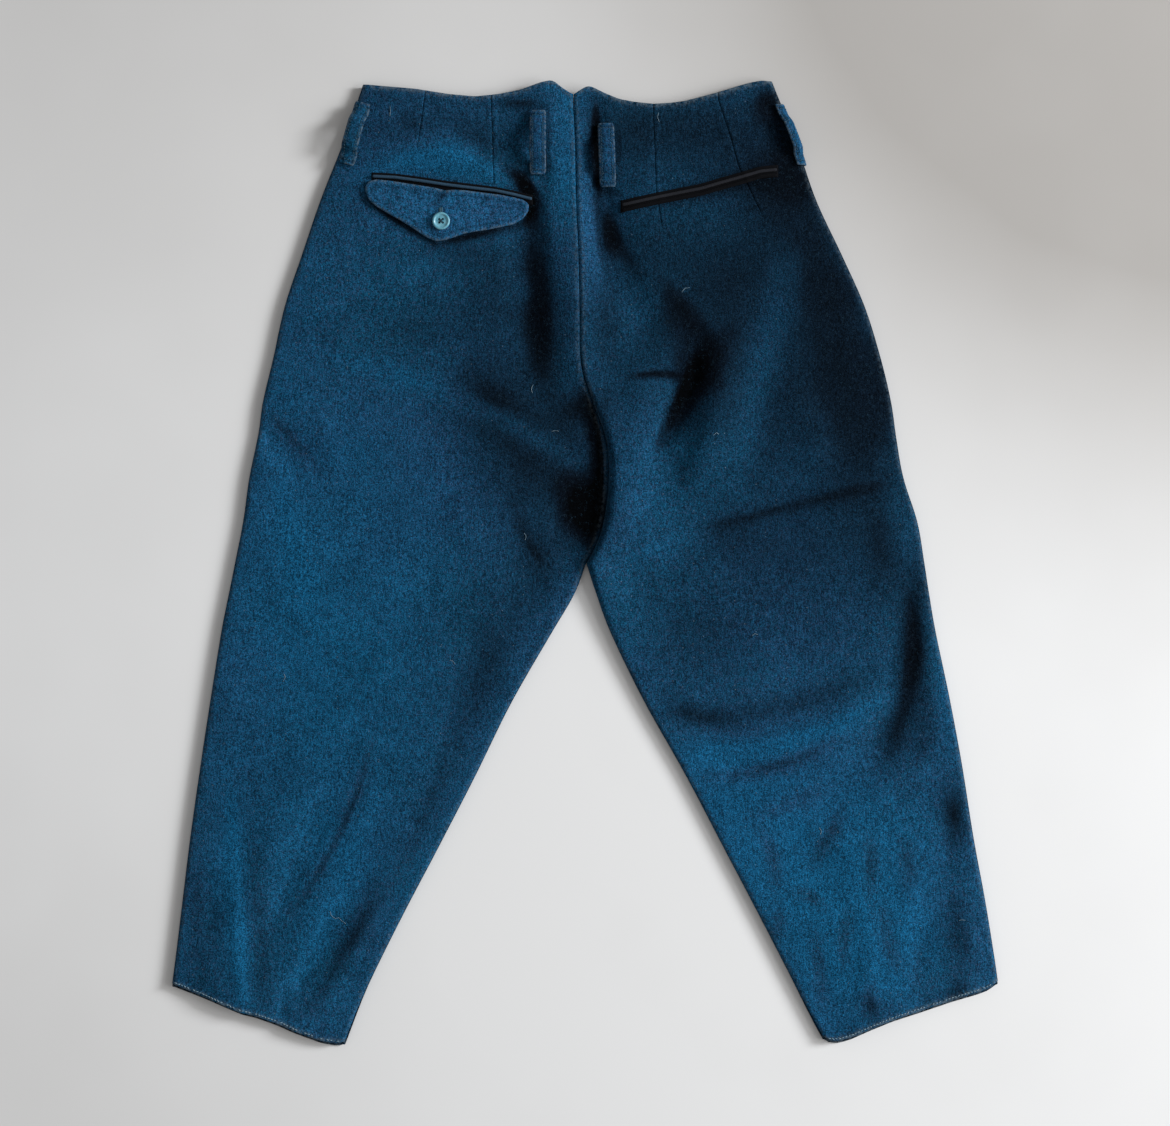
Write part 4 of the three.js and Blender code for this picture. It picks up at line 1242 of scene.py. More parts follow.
def makeGroup(name, inputs, outputs):
    group = bpy.data.node_groups.new(name, "ShaderNodeTree")
    for label, value in inputs.items():
        kind = "NodeSocketVector" if isinstance(value, tuple) else "NodeSocketFloat"
        group.interface.new_socket(label, in_out="INPUT", socket_type=kind).default_value = value
    for label in outputs:
        group.interface.new_socket(label, in_out="OUTPUT", socket_type="NodeSocketFloat")
    w = Wires(group)
    given, result = w.node("NodeGroupInput"), w.node("NodeGroupOutput")
    return w, given.outputs, result.inputs


origin = (0.0, 0.0, 0.0)


def napGrainGroup():
    # felted surface: matted clumps, fine fibres and slow unevenness, sizes in millimetres
    inputs = {"Place": origin, "Fine": 1.0, "Clump": 2.4, "Slow": 12.0, "Streak": 0.5}
    w, given, result = makeGroup("napGrain", inputs, ("Tone", "Height", "Fibre"))
    fine = w.noise(given["Place"], w.math("DIVIDE", 1.0, given["Fine"]), 3.0, 0.6)
    clump = w.noise(given["Place"], w.math("DIVIDE", 1.0, given["Clump"]), 3.0, 0.6, 0.4)
    slow = w.noise(given["Place"], w.math("DIVIDE", 1.0, given["Slow"]), 2.0, 0.5)
    combed = w.scaled(w.moved(given["Place"], (31.0, 7.0, 3.0)), (0.8, 0.16, 0.5))
    streak = w.noise(combed, w.math("DIVIDE", 1.0, given["Fine"]), 2.0, 0.6, 0.8)
    tone = w.math("MULTIPLY_ADD", w.math("SUBTRACT", fine, 0.5), 1.2, 0.5)
    tone = w.math("MULTIPLY_ADD", w.math("SUBTRACT", clump, 0.5), 0.5, tone)
    tone = w.math("MULTIPLY_ADD", w.math("SUBTRACT", slow, 0.5), 0.12, tone)
    tone = w.math("MULTIPLY_ADD", w.math("SUBTRACT", streak, 0.5), given["Streak"], tone)
    w.join(tone, result["Tone"])
    curled = w.moved(given["Place"], (5.0, 61.0, 2.0))
    curl = w.noise(curled, w.math("DIVIDE", 0.32, given["Fine"]), 2.0, 0.5, 2.2)
    line = w.mapped(w.math("ABSOLUTE", w.math("SUBTRACT", curl, 0.5)), 0.016, 0.004)
    some = w.mapped(w.noise(w.moved(given["Place"], (9.0, 3.0, 77.0)), 0.28, 2.0), 0.5, 0.66)
    w.join(w.math("MULTIPLY", line, some), result["Fibre"])
    height = w.math("MULTIPLY_ADD", clump, 1.1, w.math("MULTIPLY", fine, 0.55))
    w.join(w.math("MULTIPLY_ADD", streak, 0.25, height), result["Height"])
    return w.tree


def toneDriftGroup():
    # slow change of dye and of how the nap lies, and single fibres of other dyes
    inputs = {"Place": origin, "Broad": 150.0, "Near": 42.0}
    w, given, result = makeGroup("toneDrift", inputs, ("Dye", "Lie", "Russet", "Green"))
    dye = w.noise(given["Place"], w.math("DIVIDE", 1.0, given["Broad"]), 2.0, 0.5)
    elsewhere = w.moved(given["Place"], (90.0, 40.0, 11.0))
    lie = w.noise(elsewhere, w.math("DIVIDE", 1.0, given["Near"]), 3.0, 0.55, 0.6)
    w.join(w.mapped(dye, 0.3, 0.7), result["Dye"])
    w.join(w.mapped(lie, 0.3, 0.7), result["Lie"])
    tint = w.noise(w.moved(given["Place"], (47.0, 11.0, 29.0)), 0.42, 3.0, 0.65)
    w.join(w.mapped(tint, 0.5, 0.66), result["Russet"])
    w.join(w.mapped(tint, 0.5, 0.34), result["Green"])
    return w.tree


def paintedLightMasksGroup():
    # masks of painted light and shade: painted shade in the troughs of folds, painted highlight on their
    # ridges, and lighter or darker after the painted light and shade tables
    outputs = ("Trough", "Ridge", "Lit", "Dark", "Deep", "Unlit", "Shown")
    w, given, result = makeGroup("paintedLightMasks", {"LightShadePaint": 0.0, "Hollow": 0.0}, outputs)
    shaded = w.math("MULTIPLY", given["LightShadePaint"], -1.0)
    hollowed = w.math("MULTIPLY", given["Hollow"], -1.0)
    for label, value, low, high, kind in (
        ("Trough", hollowed, 0.0, 0.9, "SMOOTHSTEP"),
        ("Ridge", given["Hollow"], 0.05, 0.8, "SMOOTHSTEP"),
        ("Lit", given["LightShadePaint"], 0.0, 1.0, "LINEAR"),
        ("Dark", shaded, 0.0, 1.0, "LINEAR"),
        ("Deep", shaded, 0.85, 1.3, "SMOOTHSTEP"),
        ("Unlit", shaded, 1.3, 1.8, "SMOOTHSTEP"),
        ("Shown", shaded, 1.0, 0.5, "SMOOTHSTEP"),
    ):
        w.join(w.mapped(value, low, high, kind=kind), result[label])
    return w.tree


def wornEdgesGroup():
    # edges rubbed pale in patches
    w, given, result = makeGroup("wornEdges", {"Place": origin, "Worn": 0.0}, ("Wear",))
    patchy = w.mapped(w.noise(given["Place"], 0.32, 3.0, 0.6), 0.38, 0.62)
    w.join(w.math("MULTIPLY", given["Worn"], patchy), result["Wear"])
    return w.tree


def lintGroup():
    # rare pale specks of lint and a few darker pills
    inputs = {"Place": origin, "Apart": 9.0, "Size": 0.55, "Share": 0.12}
    w, given, result = makeGroup("lintSpecks", inputs, ("Speck", "Pill"))
    flat = w.scaled(given["Place"], (1.0, 1.0, 0.0))
    for label, shift, most in (("Speck", origin, 1.0), ("Pill", (47.0, 19.0, 0.0), 1.6)):
        cell = w.node("ShaderNodeTexVoronoi", voronoi_dimensions="2D")
        w.join(w.moved(flat, shift), cell.inputs["Vector"])
        w.join(w.math("DIVIDE", 1.0, given["Apart"]), cell.inputs["Scale"])
        cell.inputs["Randomness"].default_value = 1.0
        distance = w.math("MULTIPLY", cell.outputs["Distance"], given["Apart"])
        widest, whole = (w.math("MULTIPLY", given["Size"], part * most) for part in (1.0, 0.3))
        spot = w.mapped(distance, widest, whole)
        parts = w.node("ShaderNodeSeparateColor")
        w.join(cell.outputs["Color"], parts.inputs[0])
        kept = w.math("LESS_THAN", parts.outputs[0], given["Share"])
        w.join(w.math("MULTIPLY", spot, kept), result[label])
    return w.tree


def twillWeaveGroup():
    # fine ribs under a thin fuzz
    w, given, result = makeGroup("twillWeave", {"Place": origin, "Fine": 0.9}, ("Uneven", "Rough", "Height"))
    fuzz = w.noise(given["Place"], 0.9, 3.0, 0.6)
    ribs = w.wave(given["Place"], given["Fine"], 0.6)
    weave = w.math("MULTIPLY_ADD", ribs, 0.35, w.math("MULTIPLY", fuzz, 0.7))
    w.join(w.mapped(weave, 0.2, 0.8), result["Uneven"])
    w.join(w.mapped(fuzz, 0.3, 0.7, 0.8, 0.92), result["Rough"])
    w.join(weave, result["Height"])
    return w.tree


def spunThreadGroup():
    # twisted and unevenly dyed
    w, given, result = makeGroup("spunThread", {"Place": origin, "Fine": 1.1}, ("Uneven", "Rough", "Height"))
    w.join(w.mapped(w.noise(given["Place"], 0.6, 3.0), 0.3, 0.7), result["Uneven"])
    w.join(w.mapped(w.noise(given["Place"], 2.0, 2.0), 0.3, 0.7, 0.8, 0.92), result["Rough"])
    w.join(w.wave(given["Place"], given["Fine"], 2.0), result["Height"])
    return w.tree


napGrain, toneDrift, lintSpecks = napGrainGroup(), toneDriftGroup(), lintGroup()
paintedLightMasks, wornEdges = paintedLightMasksGroup(), wornEdgesGroup()
twillWeave, spunThread = twillWeaveGroup(), spunThreadGroup()


def newMaterial(name, fixed, shift=origin):
    # fixed values stand on the shader's own sockets, and place is in millimetres
    material = bpy.data.materials.new(name)
    material.use_nodes = True
    w = Wires(material.node_tree)
    surface = material.node_tree.nodes["Principled BSDF"].inputs
    for label, value in fixed.items():
        surface[label].default_value = value
    where = w.node("ShaderNodeTexCoord").outputs["Object"]
    place = w.moved(w.scaled(where, (1000.0, 1000.0, 1000.0)), shift)
    return material, w, surface, place


wool = {
    "colours": {
        "base": (0.0046, 0.049, 0.103, 1),
        "violet": (0.0085, 0.044, 0.104, 1),
        "russet": (0.0210, 0.042, 0.088, 1),
        "green": (0.0030, 0.050, 0.094, 1),
        # painted light and shade: the next five colours, for troughs, ridges, painted highlight and deep
        # painted shade; the first also colours the darker pills
        "paintedShadeAndPill": (0.0022, 0.0085, 0.0180, 1),
        "ridge": (0.0090, 0.066, 0.145, 1),
        "paintedLight": (0.0042, 0.078, 0.172, 1),
        "deep": (0.0010, 0.0028, 0.0060, 1),
        "unlit": (0.0002, 0.0005, 0.0010, 1),
        "worn": (0.110, 0.150, 0.185, 1),
        "lint": (0.16, 0.21, 0.25, 1),
        "strand": (0.050, 0.125, 0.200, 1),
    },
    # mask, colour and share of each layer, from the bottom up
    "underGrain": [
        ("Dye", "violet", 0.8),
        ("Russet", "russet", 0.55),
        ("Green", "green", 0.55),
        # painted shade in troughs, painted highlight on ridges, then the painted light and shade of the
        # tables
        ("Trough", "paintedShadeAndPill", 0.7),
        ("Ridge", "ridge", 0.35),
        ("Lit", "paintedLight", 0.7),
        ("Dark", "paintedShadeAndPill", 1.0),
        ("Deep", "deep", 1.0),
        ("Unlit", "unlit", 1.0),
    ],
    "overGrain": [
        ("Fibre", "strand", 0.34),
        ("Wear", "worn", 0.6),
        ("Lint", "lint", 0.6),
        ("Pill", "paintedShadeAndPill", 0.4),
    ],
    "lie": 0.22,
    "grain": 2.2,
    "leastTone": 0.4,
    "bump": 0.8,
    "bumpDepth": 0.0008,
    "fixed": {
        "Specular IOR Level": 0.04, "Sheen Weight": 0.05, "Sheen Roughness": 0.40,
        "Sheen Tint": (0.10, 0.55, 0.90, 1),
    },
}


def woolMaterial(name, shift, given, tone=1.0):
    material, w, surface, place = newMaterial(name, given["fixed"], shift)
    hollow, lightShadePaint, worn = (w.attribute(label) for label in ("hollow", "lightShadePaint", "worn"))
    masks = {}
    for group, values in (
        (napGrain, {"Place": place}),
        (toneDrift, {"Place": place}),
        (lintSpecks, {"Place": place}),
        (paintedLightMasks, {"LightShadePaint": lightShadePaint, "Hollow": hollow}),
        (wornEdges, {"Place": place, "Worn": worn}),
    ):
        masks.update(w.group(group, values).items())
    masks["Lint"] = w.math("MULTIPLY", masks["Speck"], masks["Shown"])

    def layered(base, layers):
        for mask, colour, share in layers:
            base = w.colour(w.math("MULTIPLY", masks[mask], share), base, given["colours"][colour])
        return base

    lie = w.math("MULTIPLY_ADD", w.math("SUBTRACT", masks["Lie"], 0.5), given["lie"], 1.0)
    mottle = w.math("MULTIPLY_ADD", w.math("SUBTRACT", masks["Tone"], 0.5), 2 * given["grain"], 1.0)
    mottle = w.math("MAXIMUM", mottle, given["leastTone"])
    strength = w.math("MULTIPLY", w.math("MULTIPLY", lie, mottle), tone)
    shade = w.node("ShaderNodeCombineColor")
    for socket in shade.inputs[:3]:
        w.join(strength, socket)
    base = layered(given["colours"]["base"], given["underGrain"])
    base = w.colour(1.0, base, shade.outputs[0], "MULTIPLY")
    w.join(layered(base, given["overGrain"]), surface["Base Color"])
    w.join(w.mapped(masks["Tone"], 0.2, 0.8, 0.98, 0.86, "LINEAR"), surface["Roughness"])
    w.bump(masks["Height"], given["bump"], given["bumpDepth"], surface["Normal"])
    return material


twill = {
    "group": twillWeave,
    "fixed": {"Specular IOR Level": 0.05, "Sheen Weight": 0.02},
    "bump": 0.4,
    "bumpDepth": 0.0002,
}
pocketing = {
    # near-black, for painted shade in the pocket mouths and on the lower right welt
    "dark": {"colour": (0.0012, 0.0014, 0.0022, 1), "lighter": (0.0032, 0.0034, 0.0048, 1), "fine": 0.9},
    "brown": {"colour": (0.0078, 0.0090, 0.0125, 1), "lighter": (0.0220, 0.0235, 0.0290, 1), "fine": 0.7},
    "teal": {"colour": (0.0125, 0.0350, 0.0640, 1), "lighter": (0.0360, 0.0760, 0.1200, 1), "fine": 0.7},
}
spun = {
    "group": spunThread,
    "fixed": {"Specular IOR Level": 0.25},
    "bump": 0.5,
    "bumpDepth": 0.0002,
}
threads = {
    "teal": {"colour": (0.030, 0.085, 0.125, 1), "lighter": (0.055, 0.125, 0.170, 1), "fine": 1.1},
    "worn": {"colour": (0.110, 0.200, 0.270, 1), "lighter": (0.260, 0.360, 0.430, 1), "fine": 1.1},
    "dark": {"colour": (0.006, 0.022, 0.036, 1), "lighter": (0.012, 0.036, 0.055, 1), "fine": 1.1},
}


def wovenMaterial(name, kind, given):
    # two tones, mixed by the unevenness of the twill or the thread
    material, w, surface, place = newMaterial(name, kind["fixed"])
    result = w.group(kind["group"], {"Place": place, "Fine": given["fine"]})
    w.join(w.colour(result["Uneven"], given["colour"], given["lighter"]), surface["Base Color"])
    w.join(result["Rough"], surface["Roughness"])
    w.bump(result["Height"], kind["bump"], kind["bumpDepth"], surface["Normal"])
    return material


shell = {
    "colour": (0.055, 0.235, 0.33, 1),
    "cloud": (0.15, 0.38, 0.47, 1),
    "grime": (0.05, 0.14, 0.20, 1),
    "fixed": {"Coat Weight": 0.2, "Coat Roughness": 0.3},
}


def shellMaterial(given):
    material, w, surface, place = newMaterial("polished_shell", given["fixed"])
    cloud = w.noise(place, 0.22, 3.0, 0.55, 1.2)
    grit = w.noise(place, 2.2, 2.0, 0.6)
    base = w.colour(w.mapped(cloud, 0.32, 0.68), given["colour"], given["cloud"])
    base = w.colour(w.math("MULTIPLY", w.mapped(grit, 0.55, 0.75), 0.25), base, given["grime"])
    w.join(base, surface["Base Color"])
    w.join(w.mapped(grit, 0.3, 0.7, 0.34, 0.48), surface["Roughness"])
    w.bump(grit, 0.15, 0.0002, surface["Normal"])
    return material


woolCloth = woolMaterial("fulled_wool", origin, wool)
woolRight = woolMaterial("fulled_wool_right", (311.0, 127.0, 40.0), wool)
woolFlap = woolMaterial("fulled_wool_flap", (57.0, 419.0, 9.0), wool, 1.38)
woolLoops = woolMaterial("fulled_wool_loops", (210.0, 77.0, 81.0), wool)
woolUnder = woolMaterial("fulled_wool_front", (13.0, 231.0, 60.0), wool)
pocketingFinish, thread = (
    {name: wovenMaterial(prefix + name, kind, given) for name, given in tones.items()}
    for prefix, kind, tones in (("pocketing_", twill, pocketing), ("thread_", spun, threads))
)
buttonShell = shellMaterial(shell)
print("materials made")


def finishPiece(piece, material, slot, *nodes):
    piece.data.materials.clear()
    piece.data.materials.append(material)
    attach(piece, "root")
    if nodes:
        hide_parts(*nodes)


# painted light and shade on the backs, lighter above 0 and darker below: x y, radii across and along, turn,
# strength
paintedLight = [
    (-50, 390, 240, 36, 0, -0.34),  # waist
    (110, 375, 78, 46, 0, -0.52),
    (180, 350, 13, 50, 15, -0.35),
    (122, 250, 78, 70, 0, -0.85),  # right seat
    (226, 205, 46, 130, 14, -0.8),
    (190, 310, 46, 42, 0, -0.3),
    (52, 236, 26, 46, -10, -0.10),
    (-95, 245, 70, 30, 8, -0.30),  # left seat
    (-130, 205, 75, 26, 10, -0.22),
    (-240, 235, 20, 60, 12, 0.15),
    (-38, 78, 46, 62, -14, -0.62),  # left of the fork
    (0, 48, 21, 36, 0, -1.05),
    (-88, -72, 34, 56, -25, -0.15),
    (-185, 20, 90, 110, 0, 0.42),  # left thigh
    (-250, -110, 80, 130, 8, 0.38),
    (-160, -120, 60, 90, -15, 0.28),
    (66, 60, 26, 60, 8, 0.12),  # fork
    (170, -30, 90, 80, 0, -0.42),  # right thigh
    (236, 70, 52, 95, 0, -0.6),
    (160, 20, 60, 50, 0, -0.15),
    (96, -75, 34, 60, 25, -0.42),
    (175, -265, 95, 120, 22, 0.95),  # right calf
    (260, -290, 60, 90, 10, 0.55),
    (120, -190, 50, 50, 20, 0.5),
    (-215, -300, 120, 110, 0, 0.48),  # left calf
    (-62, 190, 50, 88, 0, -0.55),  # both sides of the centre seam
    (-10, 126, 24, 30, 0, -0.35),
    (32, 195, 48, 55, 0, -0.35),
    (130, 165, 75, 62, 0, -0.4),
    (90, 350, 125, 50, 0, -0.2),
    (-75, -35, 40, 90, -25, -0.32),
    (-262, 0, 40, 170, 8, 0.3),
    (130, 20, 45, 30, 0, -0.25),
    (150, 140, 66, 46, 0, -0.4),
    (140, 85, 50, 46, 0, -0.35),
    (-82, 125, 42, 44, 0, -0.55),
    (-52, 78, 34, 46, -10, -0.12),
    (-36, 2, 28, 30, 0, -0.4),
    (-112, 272, 42, 13, 0, -0.35),
    (40, 372, 26, 32, 0, -0.28),
    (52, 280, 26, 26, 0, -0.35),
    (50, 222, 18, 26, -20, 0.45),
    (160, 400, 14, 16, 0, -0.8),
    (166, 335, 34, 30, 0, -0.45),
    (222, 238, 22, 26, 0, -0.15),
    (84, 172, 10, 14, 0, -0.35),
    (120, 172, 12, 18, 0, 0.15),
    (-105, 155, 26, 26, 0, -0.35),
    (322, -208, 10, 22, 0, -0.4),
    (84, -138, 16, 14, 0, -0.35),
    (256, -306, 10, 14, 0, -0.75),
    (120, 34, 18, 16, 0, -0.1),
    (40, 122, 30, 40, 0, -0.3),
    (18, 215, 12, 36, 0, -0.3),
    (-118, 360, 16, 24, 0, 0.5),
    (-118, 341, 12, 6, 0, 0.5),
    (-50, 238, 12, 14, 0, 0.4),
    (-152, 382, 14, 12, 0, -0.4),
    (-6, 136, 14, 10, 0, -0.3),
    (-16, 68, 12, 14, 0, -0.3),
    (-84, 138, 18, 14, 0, -0.2),
    (-18, 285, 8, 50, 0, -0.3),
    (22, 285, 8, 18, 0, -0.75),
    (18, 136, 8, 18, 0, -0.3),
    (235, -355, 90, 42, 10, 0.6),
    (190, 306, 16, 16, 0, 0.2),
    (256, 2, 14, 44, 0, -0.3),
    (292, -12, 12, 30, 0, -0.5),
    (264, -152, 22, 22, 0, -0.4),
    (84, 98, 12, 12, 0, 0.4),
    (-152, 204, 20, 16, 0, -0.3),
    (-203, 100, 24, 14, 0, 0.3),
    (-220, -240, 14, 20, 0, 0.5),
    (-322, -272, 10, 24, 0, 0.5),
    (-186, -336, 14, 20, 0, -0.3),
    (324, -374, 12, 14, 0, -0.8),
]
# painted light and shade along curves: x1 y1, bend x y, x2 y2, width left of the curve's direction, width
# right of it, strength
paintedStrokes = [
    (-20, 420, -20, 330, -10, 250, 20, 24, 0.55),  # centre ridge
    (-14, 410, -12, 350, -6, 290, 14, 16, 0.4),
    (-32, 396, -32, 366, -32, 342, 3, 3, -0.75),  # beside the loops
    (29, 380, 29.5, 354, 30, 330, 2, 2, -0.35),
    (9, 400, 10, 364, 12, 328, 3, 3, -0.8),
    (14, 326, 22, 321, 30, 324, 4, 4, -0.5),
    (-44, 336, -44, 280, -44, 170, 14, 12, -0.75),
    (-57, 346, -50, 325, -43, 296, 7, 7, -1.1),
    (70, -118, 112, -142, 158, -150, 9, 10, -0.55),
    (302, -352, 298, -376, 302, -398, 8, 8, -0.45),
    (-38, 260, -36, 200, -32, 150, 12, 10, -0.5),
    (9, 404, 9, 350, 13, 316, 4, 10, -0.95),
    (14, 326, 15, 294, 44, 258, 6, 13, -0.65),  # edge of the right seat
    (58, 250, 92, 222, 112, 178, 8, 24, -0.45),
    (176, 262, 156, 170, 128, 70, 14, 16, 0.55),  # ridge right of the fork
    (98, 184, 83, 150, 68, 110, 13, 3, -1.35),  # fork fold
    (120, 196, 104, 170, 94, 148, 18, 10, -0.5),
    (50, 150, 46, 110, 42, 30, 17, 17, 0.15),
    (36, 162, 62, 168, 86, 163, 3, 4, -0.7),
    (80, 100, 80, 86, 90, 68, 5, 6, -0.35),
    (98, 28, 150, 45, 262, 70, 4, 7, -0.4),  # right thigh
    (34, 2, 66, 12, 100, 30, 8, 8, 0.4),
    (-218, 180, -122, 160, -6, 88, 9, 10, 0.6),  # left seat, towards the fork
    (-178, 248, -150, 262, -95, 244, 12, 12, 0.25),
    (-276, 132, -262, 118, -238, 86, 5, 6, -0.9),  # left hip
    (-258, 195, -262, 150, -250, 110, 14, 14, 0.3),
    (-268, 92, -258, 20, -240, -40, 12, 12, 0.4),
    (-192, 338, -128, 368, -64, 332, 12, 13, 1.35),  # over the left pocket
    (-132, 382, -96, 376, -62, 345, 14, 12, -0.5),
    (-64, 64, -56, 20, -30, -10, 6, 6, -0.3),
    (-88, -60, -80, -100, -110, -140, 14, 14, -0.3),
    (-112, -150, -132, -210, -190, -330, 9, 9, -0.45),
    (-184, -156, -203, -236, -262, -318, 2.2, 6, -1.25),  # left calf
    (-174, -180, -190, -240, -240, -320, 8, 8, 0.35),
    (-176, -280, -198, -320, -238, -388, 8, 10, -1.25),
    (-192, -262, -224, -320, -258, -372, 10, 10, 0.3),
    (-309, -200, -304, -300, -298, -382, 9, 9, 1.0),
    (-335, -240, -340, -310, -336, -366, 12, 9, -0.5),
    (-286, -250, -282, -320, -278, -385, 9, 9, -0.7),
    (-325, -190, -310, -180, -300, -150, 9, 9, 0.3),
    (288, -32, 290, -95, 262, -182, 13, 12, -1.05),  # right knee
    (308, -60, 312, -120, 318, -170, 7, 7, 0.4),
    (92, -165, 180, -170, 262, -118, 8, 9, 0.95),
    (78, -132, 170, -142, 250, -96, 14, 10, -0.75),
    (106, -187, 165, -184, 218, -152, 6, 7, -1.3),
    (140, -222, 176, -212, 214, -196, 8, 8, -0.8),
    (300, -118, 300, -160, 276, -200, 10, 10, -0.5),
    (316, -196, 322, -230, 326, -250, 12, 12, -0.9),
    (318, -280, 330, -320, 326, -370, 14, 16, -0.9),
    (200, -320, 204, -350, 206, -384, 7, 7, -1.3),
    (152, -232, 168, -256, 166, -284, 7, 7, -1.2),
    (262, -312, 262, -340, 274, -352, 8, 8, -1.3),
    (232, -380, 250, -390, 280, -388, 10, 10, -0.5),
    (180, -330, 176, -360, 190, -398, 8, 8, -0.4),
    (262, 30, 288, -50, 300, -150, 8, 14, -0.35),
    (252, 200, 262, 150, 262, 110, 10, 12, -0.25),  # outer side of the right leg
    (-40, -20, -90, -110, -150, -240, 15, 16, -0.28),
    (-8, 428, -8, 405, -8, 372, 14, 12, 0.6),
    (-74, 347, -56, 334, -41, 318, 5, 8, -1.1),  # beyond the left pocket's end
    (-74, 401, -54, 401, -34, 397, 5, 5, -0.7),
    (31, 309, 98, 322, 170, 342, 8, 8, -0.45),  # along the pockets
    (-188, 339, -115, 334, -44, 318, 5, 5, -0.35),
    (-193, 320, -168, 299, -131, 278.5, 3.5, 4, -1.2),
    (-131, 278.5, -96, 286, -52, 296, 3.5, 4, -1.1),
    (-51, 297, -46.5, 306, -48, 316, 3.5, 3.5, -1.1),
    (-309, -200, -304, -300, -298, -382, 5, 5, 0.4),
    (222, -218, 214, -240, 196, -262, 7, 7, -1.5),  # mottles of the right calf
    (246, -236, 252, -262, 246, -290, 7, 6, -1.4),
    (276, -240, 284, -262, 280, -284, 7, 7, -1.1),
    (232, -300, 222, -322, 226, -352, 7, 7, -1.5),
    (208, -300, 196, -286, 182, -286, 6, 6, -1.3),
    (294, -330, 284, -350, 290, -378, 6, 6, -0.7),
    (250, -360, 244, -378, 252, -396, 6, 6, -1.2),
    (168, -300, 172, -316, 160, -330, 6, 6, -1.2),
]

# painted shadow on the left back alone: the deep hollow where the right leg lies over it
forkShadowSpots = [(1, 46, 15, 17, 0, -1.3)]
forkShadowStrokes = [(0, 148, 27, 97, 6, 16, 1.2, 9, -1.3)]
# painted shade on the fronts, where their turned hems lie in shade
frontShadeStrokes = [
    (-376, -364, -290, -390, -200, -424, 12, 12, -1.8),
    (196, -418, 262, -404, 370, -358, 12, 12, -1.8),
]


def lightShadePaintAt(x, y, spots, curves):
    lightShadePaint = np.zeros(len(x))
    for cx, cy, rx, ry, turn, strength in spots:
        a = math.radians(turn)
        u = (x - cx) * math.cos(a) + (y - cy) * math.sin(a)
        v = -(x - cx) * math.sin(a) + (y - cy) * math.cos(a)
        lightShadePaint += strength * np.exp(-((u / rx) ** 2) - (v / ry) ** 2)
    for curve in curves:
        lightShadePaint += foldRise(curve, x, y)
    return np.clip(lightShadePaint, -2, 1)


# painted light and shade, stored on each piece as a point attribute that the wool material turns into lighter
# and darker colour
lightShadePaintTables = {
    "back_left": (paintedLight + forkShadowSpots, paintedStrokes + forkShadowStrokes),
    "back_right": (paintedLight, paintedStrokes),
    "front_left": ([], frontShadeStrokes[:1]),
    "front_right": ([], frontShadeStrokes[1:]),
}
for name, tables in lightShadePaintTables.items():
    piece = made[name]["piece"]
    places = np.empty(3 * len(piece.data.vertices), np.float32)
    piece.data.vertices.foreach_get("co", places)
    places = places.reshape(-1, 3) / millimetre
    lightShadePaint = lightShadePaintAt(places[:, 0], places[:, 1], *tables)
    piece.data.attributes.new("lightShadePaint", "FLOAT", "POINT").data.foreach_set("value", lightShadePaint.astype(np.float32))

for name, each in made.items():
    material = {"back_left": woolCloth, "back_right": woolRight}.get(name, woolUnder)
    finishPiece(each["piece"], material, "wool", name)
finishPiece(flap["piece"], woolFlap, "wool", "flap_left")
for name, loop in loopPieces.items():
    finishPiece(loop["piece"], woolLoops, "wool", name)
for name, piece in weltPieces.items():
    finishPiece(piece, pocketingFinish[welts[name]["finish"]], "welt", name)
for piece in mouthShadePieces.values():
    finishPiece(piece, pocketingFinish["dark"], "welt")
finishPiece(buttonPiece, buttonShell, "button", "pocket_button")
for piece in [*strayFibres.values(), *hemStitches.values()]:
    finishPiece(piece, thread["worn"], "wool")
for piece in loopStitches.values():
    finishPiece(piece, thread["teal"], "wool")
finishPiece(buttonThread, thread["dark"], "wool")
finishPiece(buttonholeThread, thread["teal"], "wool")


studio = {
    "floor": (0.772, 0.775, 0.780, 1),
    "floorDark": (0.40, 0.385, 0.37, 1),
    "floorSize": 8.0,
    "shadeReach": 1.3,
    "cloudy": 0.16,
    "world": (1.0, 0.985, 0.965, 1),
    "worldStrength": 0.33,
    "cameraHeight": 2.4,
    "cameraFocus": 0.008,  # height at which the frame has its width
    "frameWidth": 1.018,
    "centre": (0.0, 0.0004),
}
lamps = {
    "key": {"place": (5.4, 1.6, 2.4), "shape": "DISK", "size": (1.6, 1.6), "power": 370.0,
            "colour": (0.965, 0.985, 1.0)},
    "side": {"place": (2.7, 0.1, 1.5), "shape": "RECTANGLE", "size": (2.2, 1.6), "power": 62.0,
             "colour": (1.0, 1.0, 1.0)},
}
# painted shade where the light on the floor falls off: x y radius in metres and strength of the floor's
# darker parts
floorShades = [
    (0.60, 0.60, 0.60, 1.8),
    (-0.55, 0.60, 0.60, 0.38),
    (0.0, 0.75, 0.60, 0.30),
    (-0.6, -0.6, 0.5, 0.22),
]


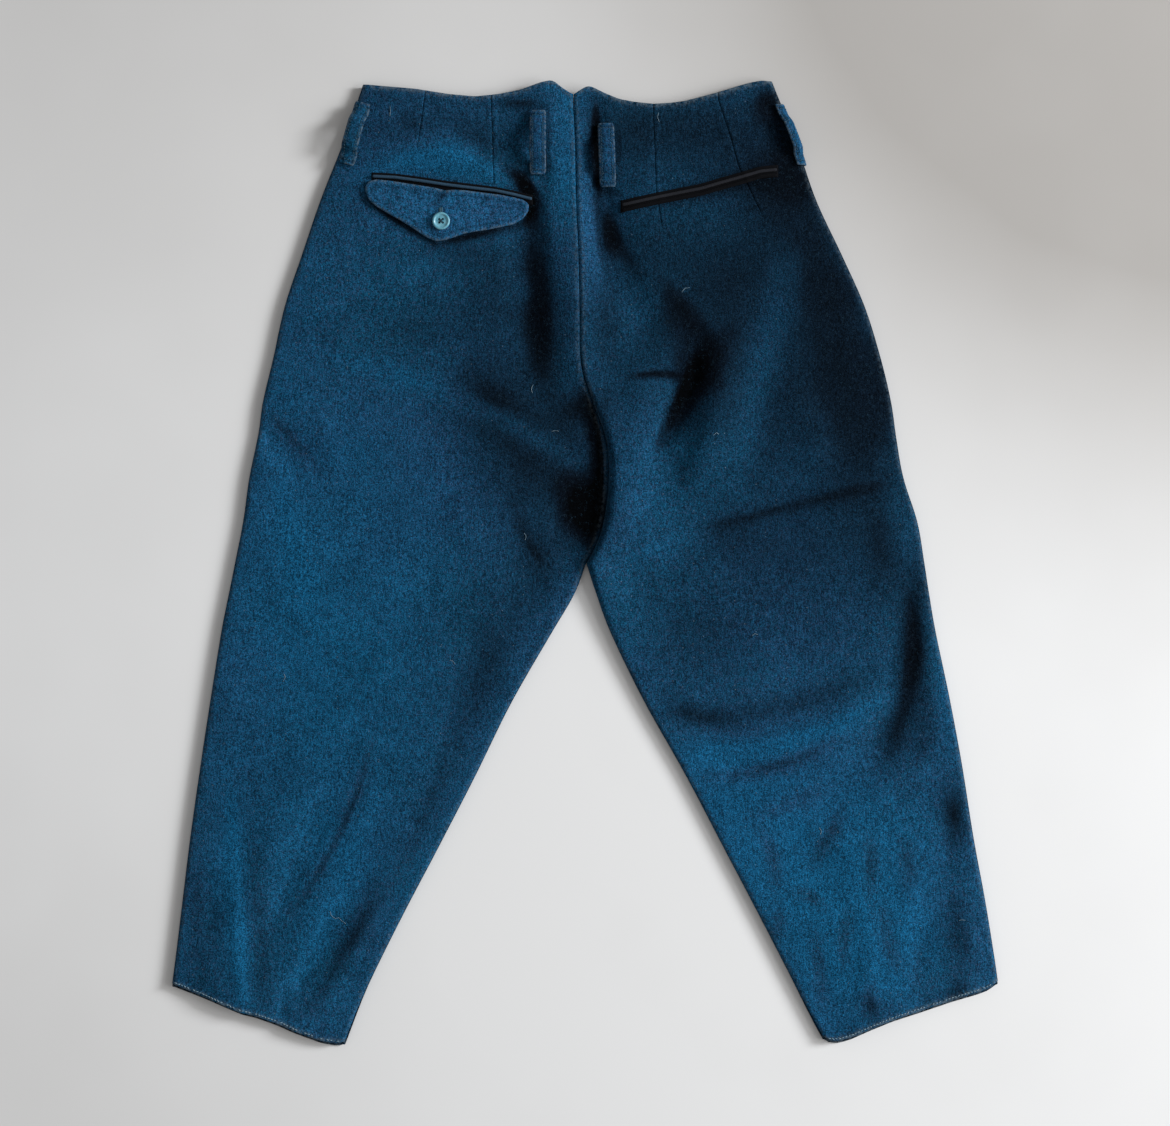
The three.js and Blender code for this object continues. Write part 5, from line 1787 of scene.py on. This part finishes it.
def floorMaterial():
    material, w, surface, place = newMaterial("floor_paper", {"Specular IOR Level": 0.1})
    shade = 0.0
    # painted shade: the floor darkens towards each of these places
    for x, y, radius, strength in floorShades:
        away = w.node("ShaderNodeVectorMath", operation="DISTANCE")
        w.join(place, away.inputs[0])
        away.inputs[1].default_value = (x / millimetre, y / millimetre, 0)
        reach = radius * studio["shadeReach"] / millimetre
        part = w.mapped(away.outputs["Value"], 0.0, reach, strength, 0.0)
        shade = w.math("ADD", part, shade, clamp=True)
    shade = w.math("SUBTRACT", shade, studio["cloudy"] / 2)
    cloudy = w.math("MULTIPLY_ADD", w.noise(place, 0.006, 2.0), studio["cloudy"], shade, clamp=True)
    w.join(w.colour(cloudy, studio["floor"], studio["floorDark"]), surface["Base Color"])
    w.join(w.mapped(w.noise(place, 0.4, 2.0), 0.3, 0.7, 0.88, 0.94), surface["Roughness"])
    return material


size = studio["floorSize"] / 2
corners = [(-size, -size, 0), (size, -size, 0), (size, size, 0), (-size, size, 0)]
floorMesh = bpy.data.meshes.new("floor")
floorMesh.from_pydata(corners, [], [(0, 1, 2, 3)])
floorMesh.materials.append(floorMaterial())
floor = bpy.data.objects.new("floor", floorMesh)
bpy.context.scene.collection.objects.link(floor)

for name, given in lamps.items():
    light = bpy.data.lights.new(name, "AREA")
    light.shape = given["shape"]
    light.size, light.size_y = given["size"]
    light.energy, light.color = given["power"], given["colour"]
    lamp = bpy.data.objects.new(name, light)
    lamp.location = given["place"]
    lamp.rotation_euler = (Vector((0, 0, 0)) - lamp.location).to_track_quat("-Z", "Y").to_euler()
    bpy.context.scene.collection.objects.link(lamp)

world = bpy.data.worlds.new("room")
world.use_nodes = True
background = world.node_tree.nodes["Background"]
background.inputs["Color"].default_value = studio["world"]
background.inputs["Strength"].default_value = studio["worldStrength"]
bpy.context.scene.world = world

camera = bpy.data.objects.new("camera", bpy.data.cameras.new("camera"))
camera.location = (*studio["centre"], studio["cameraHeight"])
camera.data.sensor_width = 36.0
camera.data.lens = 36.0 * (studio["cameraHeight"] - studio["cameraFocus"]) / studio["frameWidth"]
bpy.context.scene.collection.objects.link(camera)
bpy.context.scene.camera = camera
bpy.context.scene.view_settings.view_transform = "Standard"
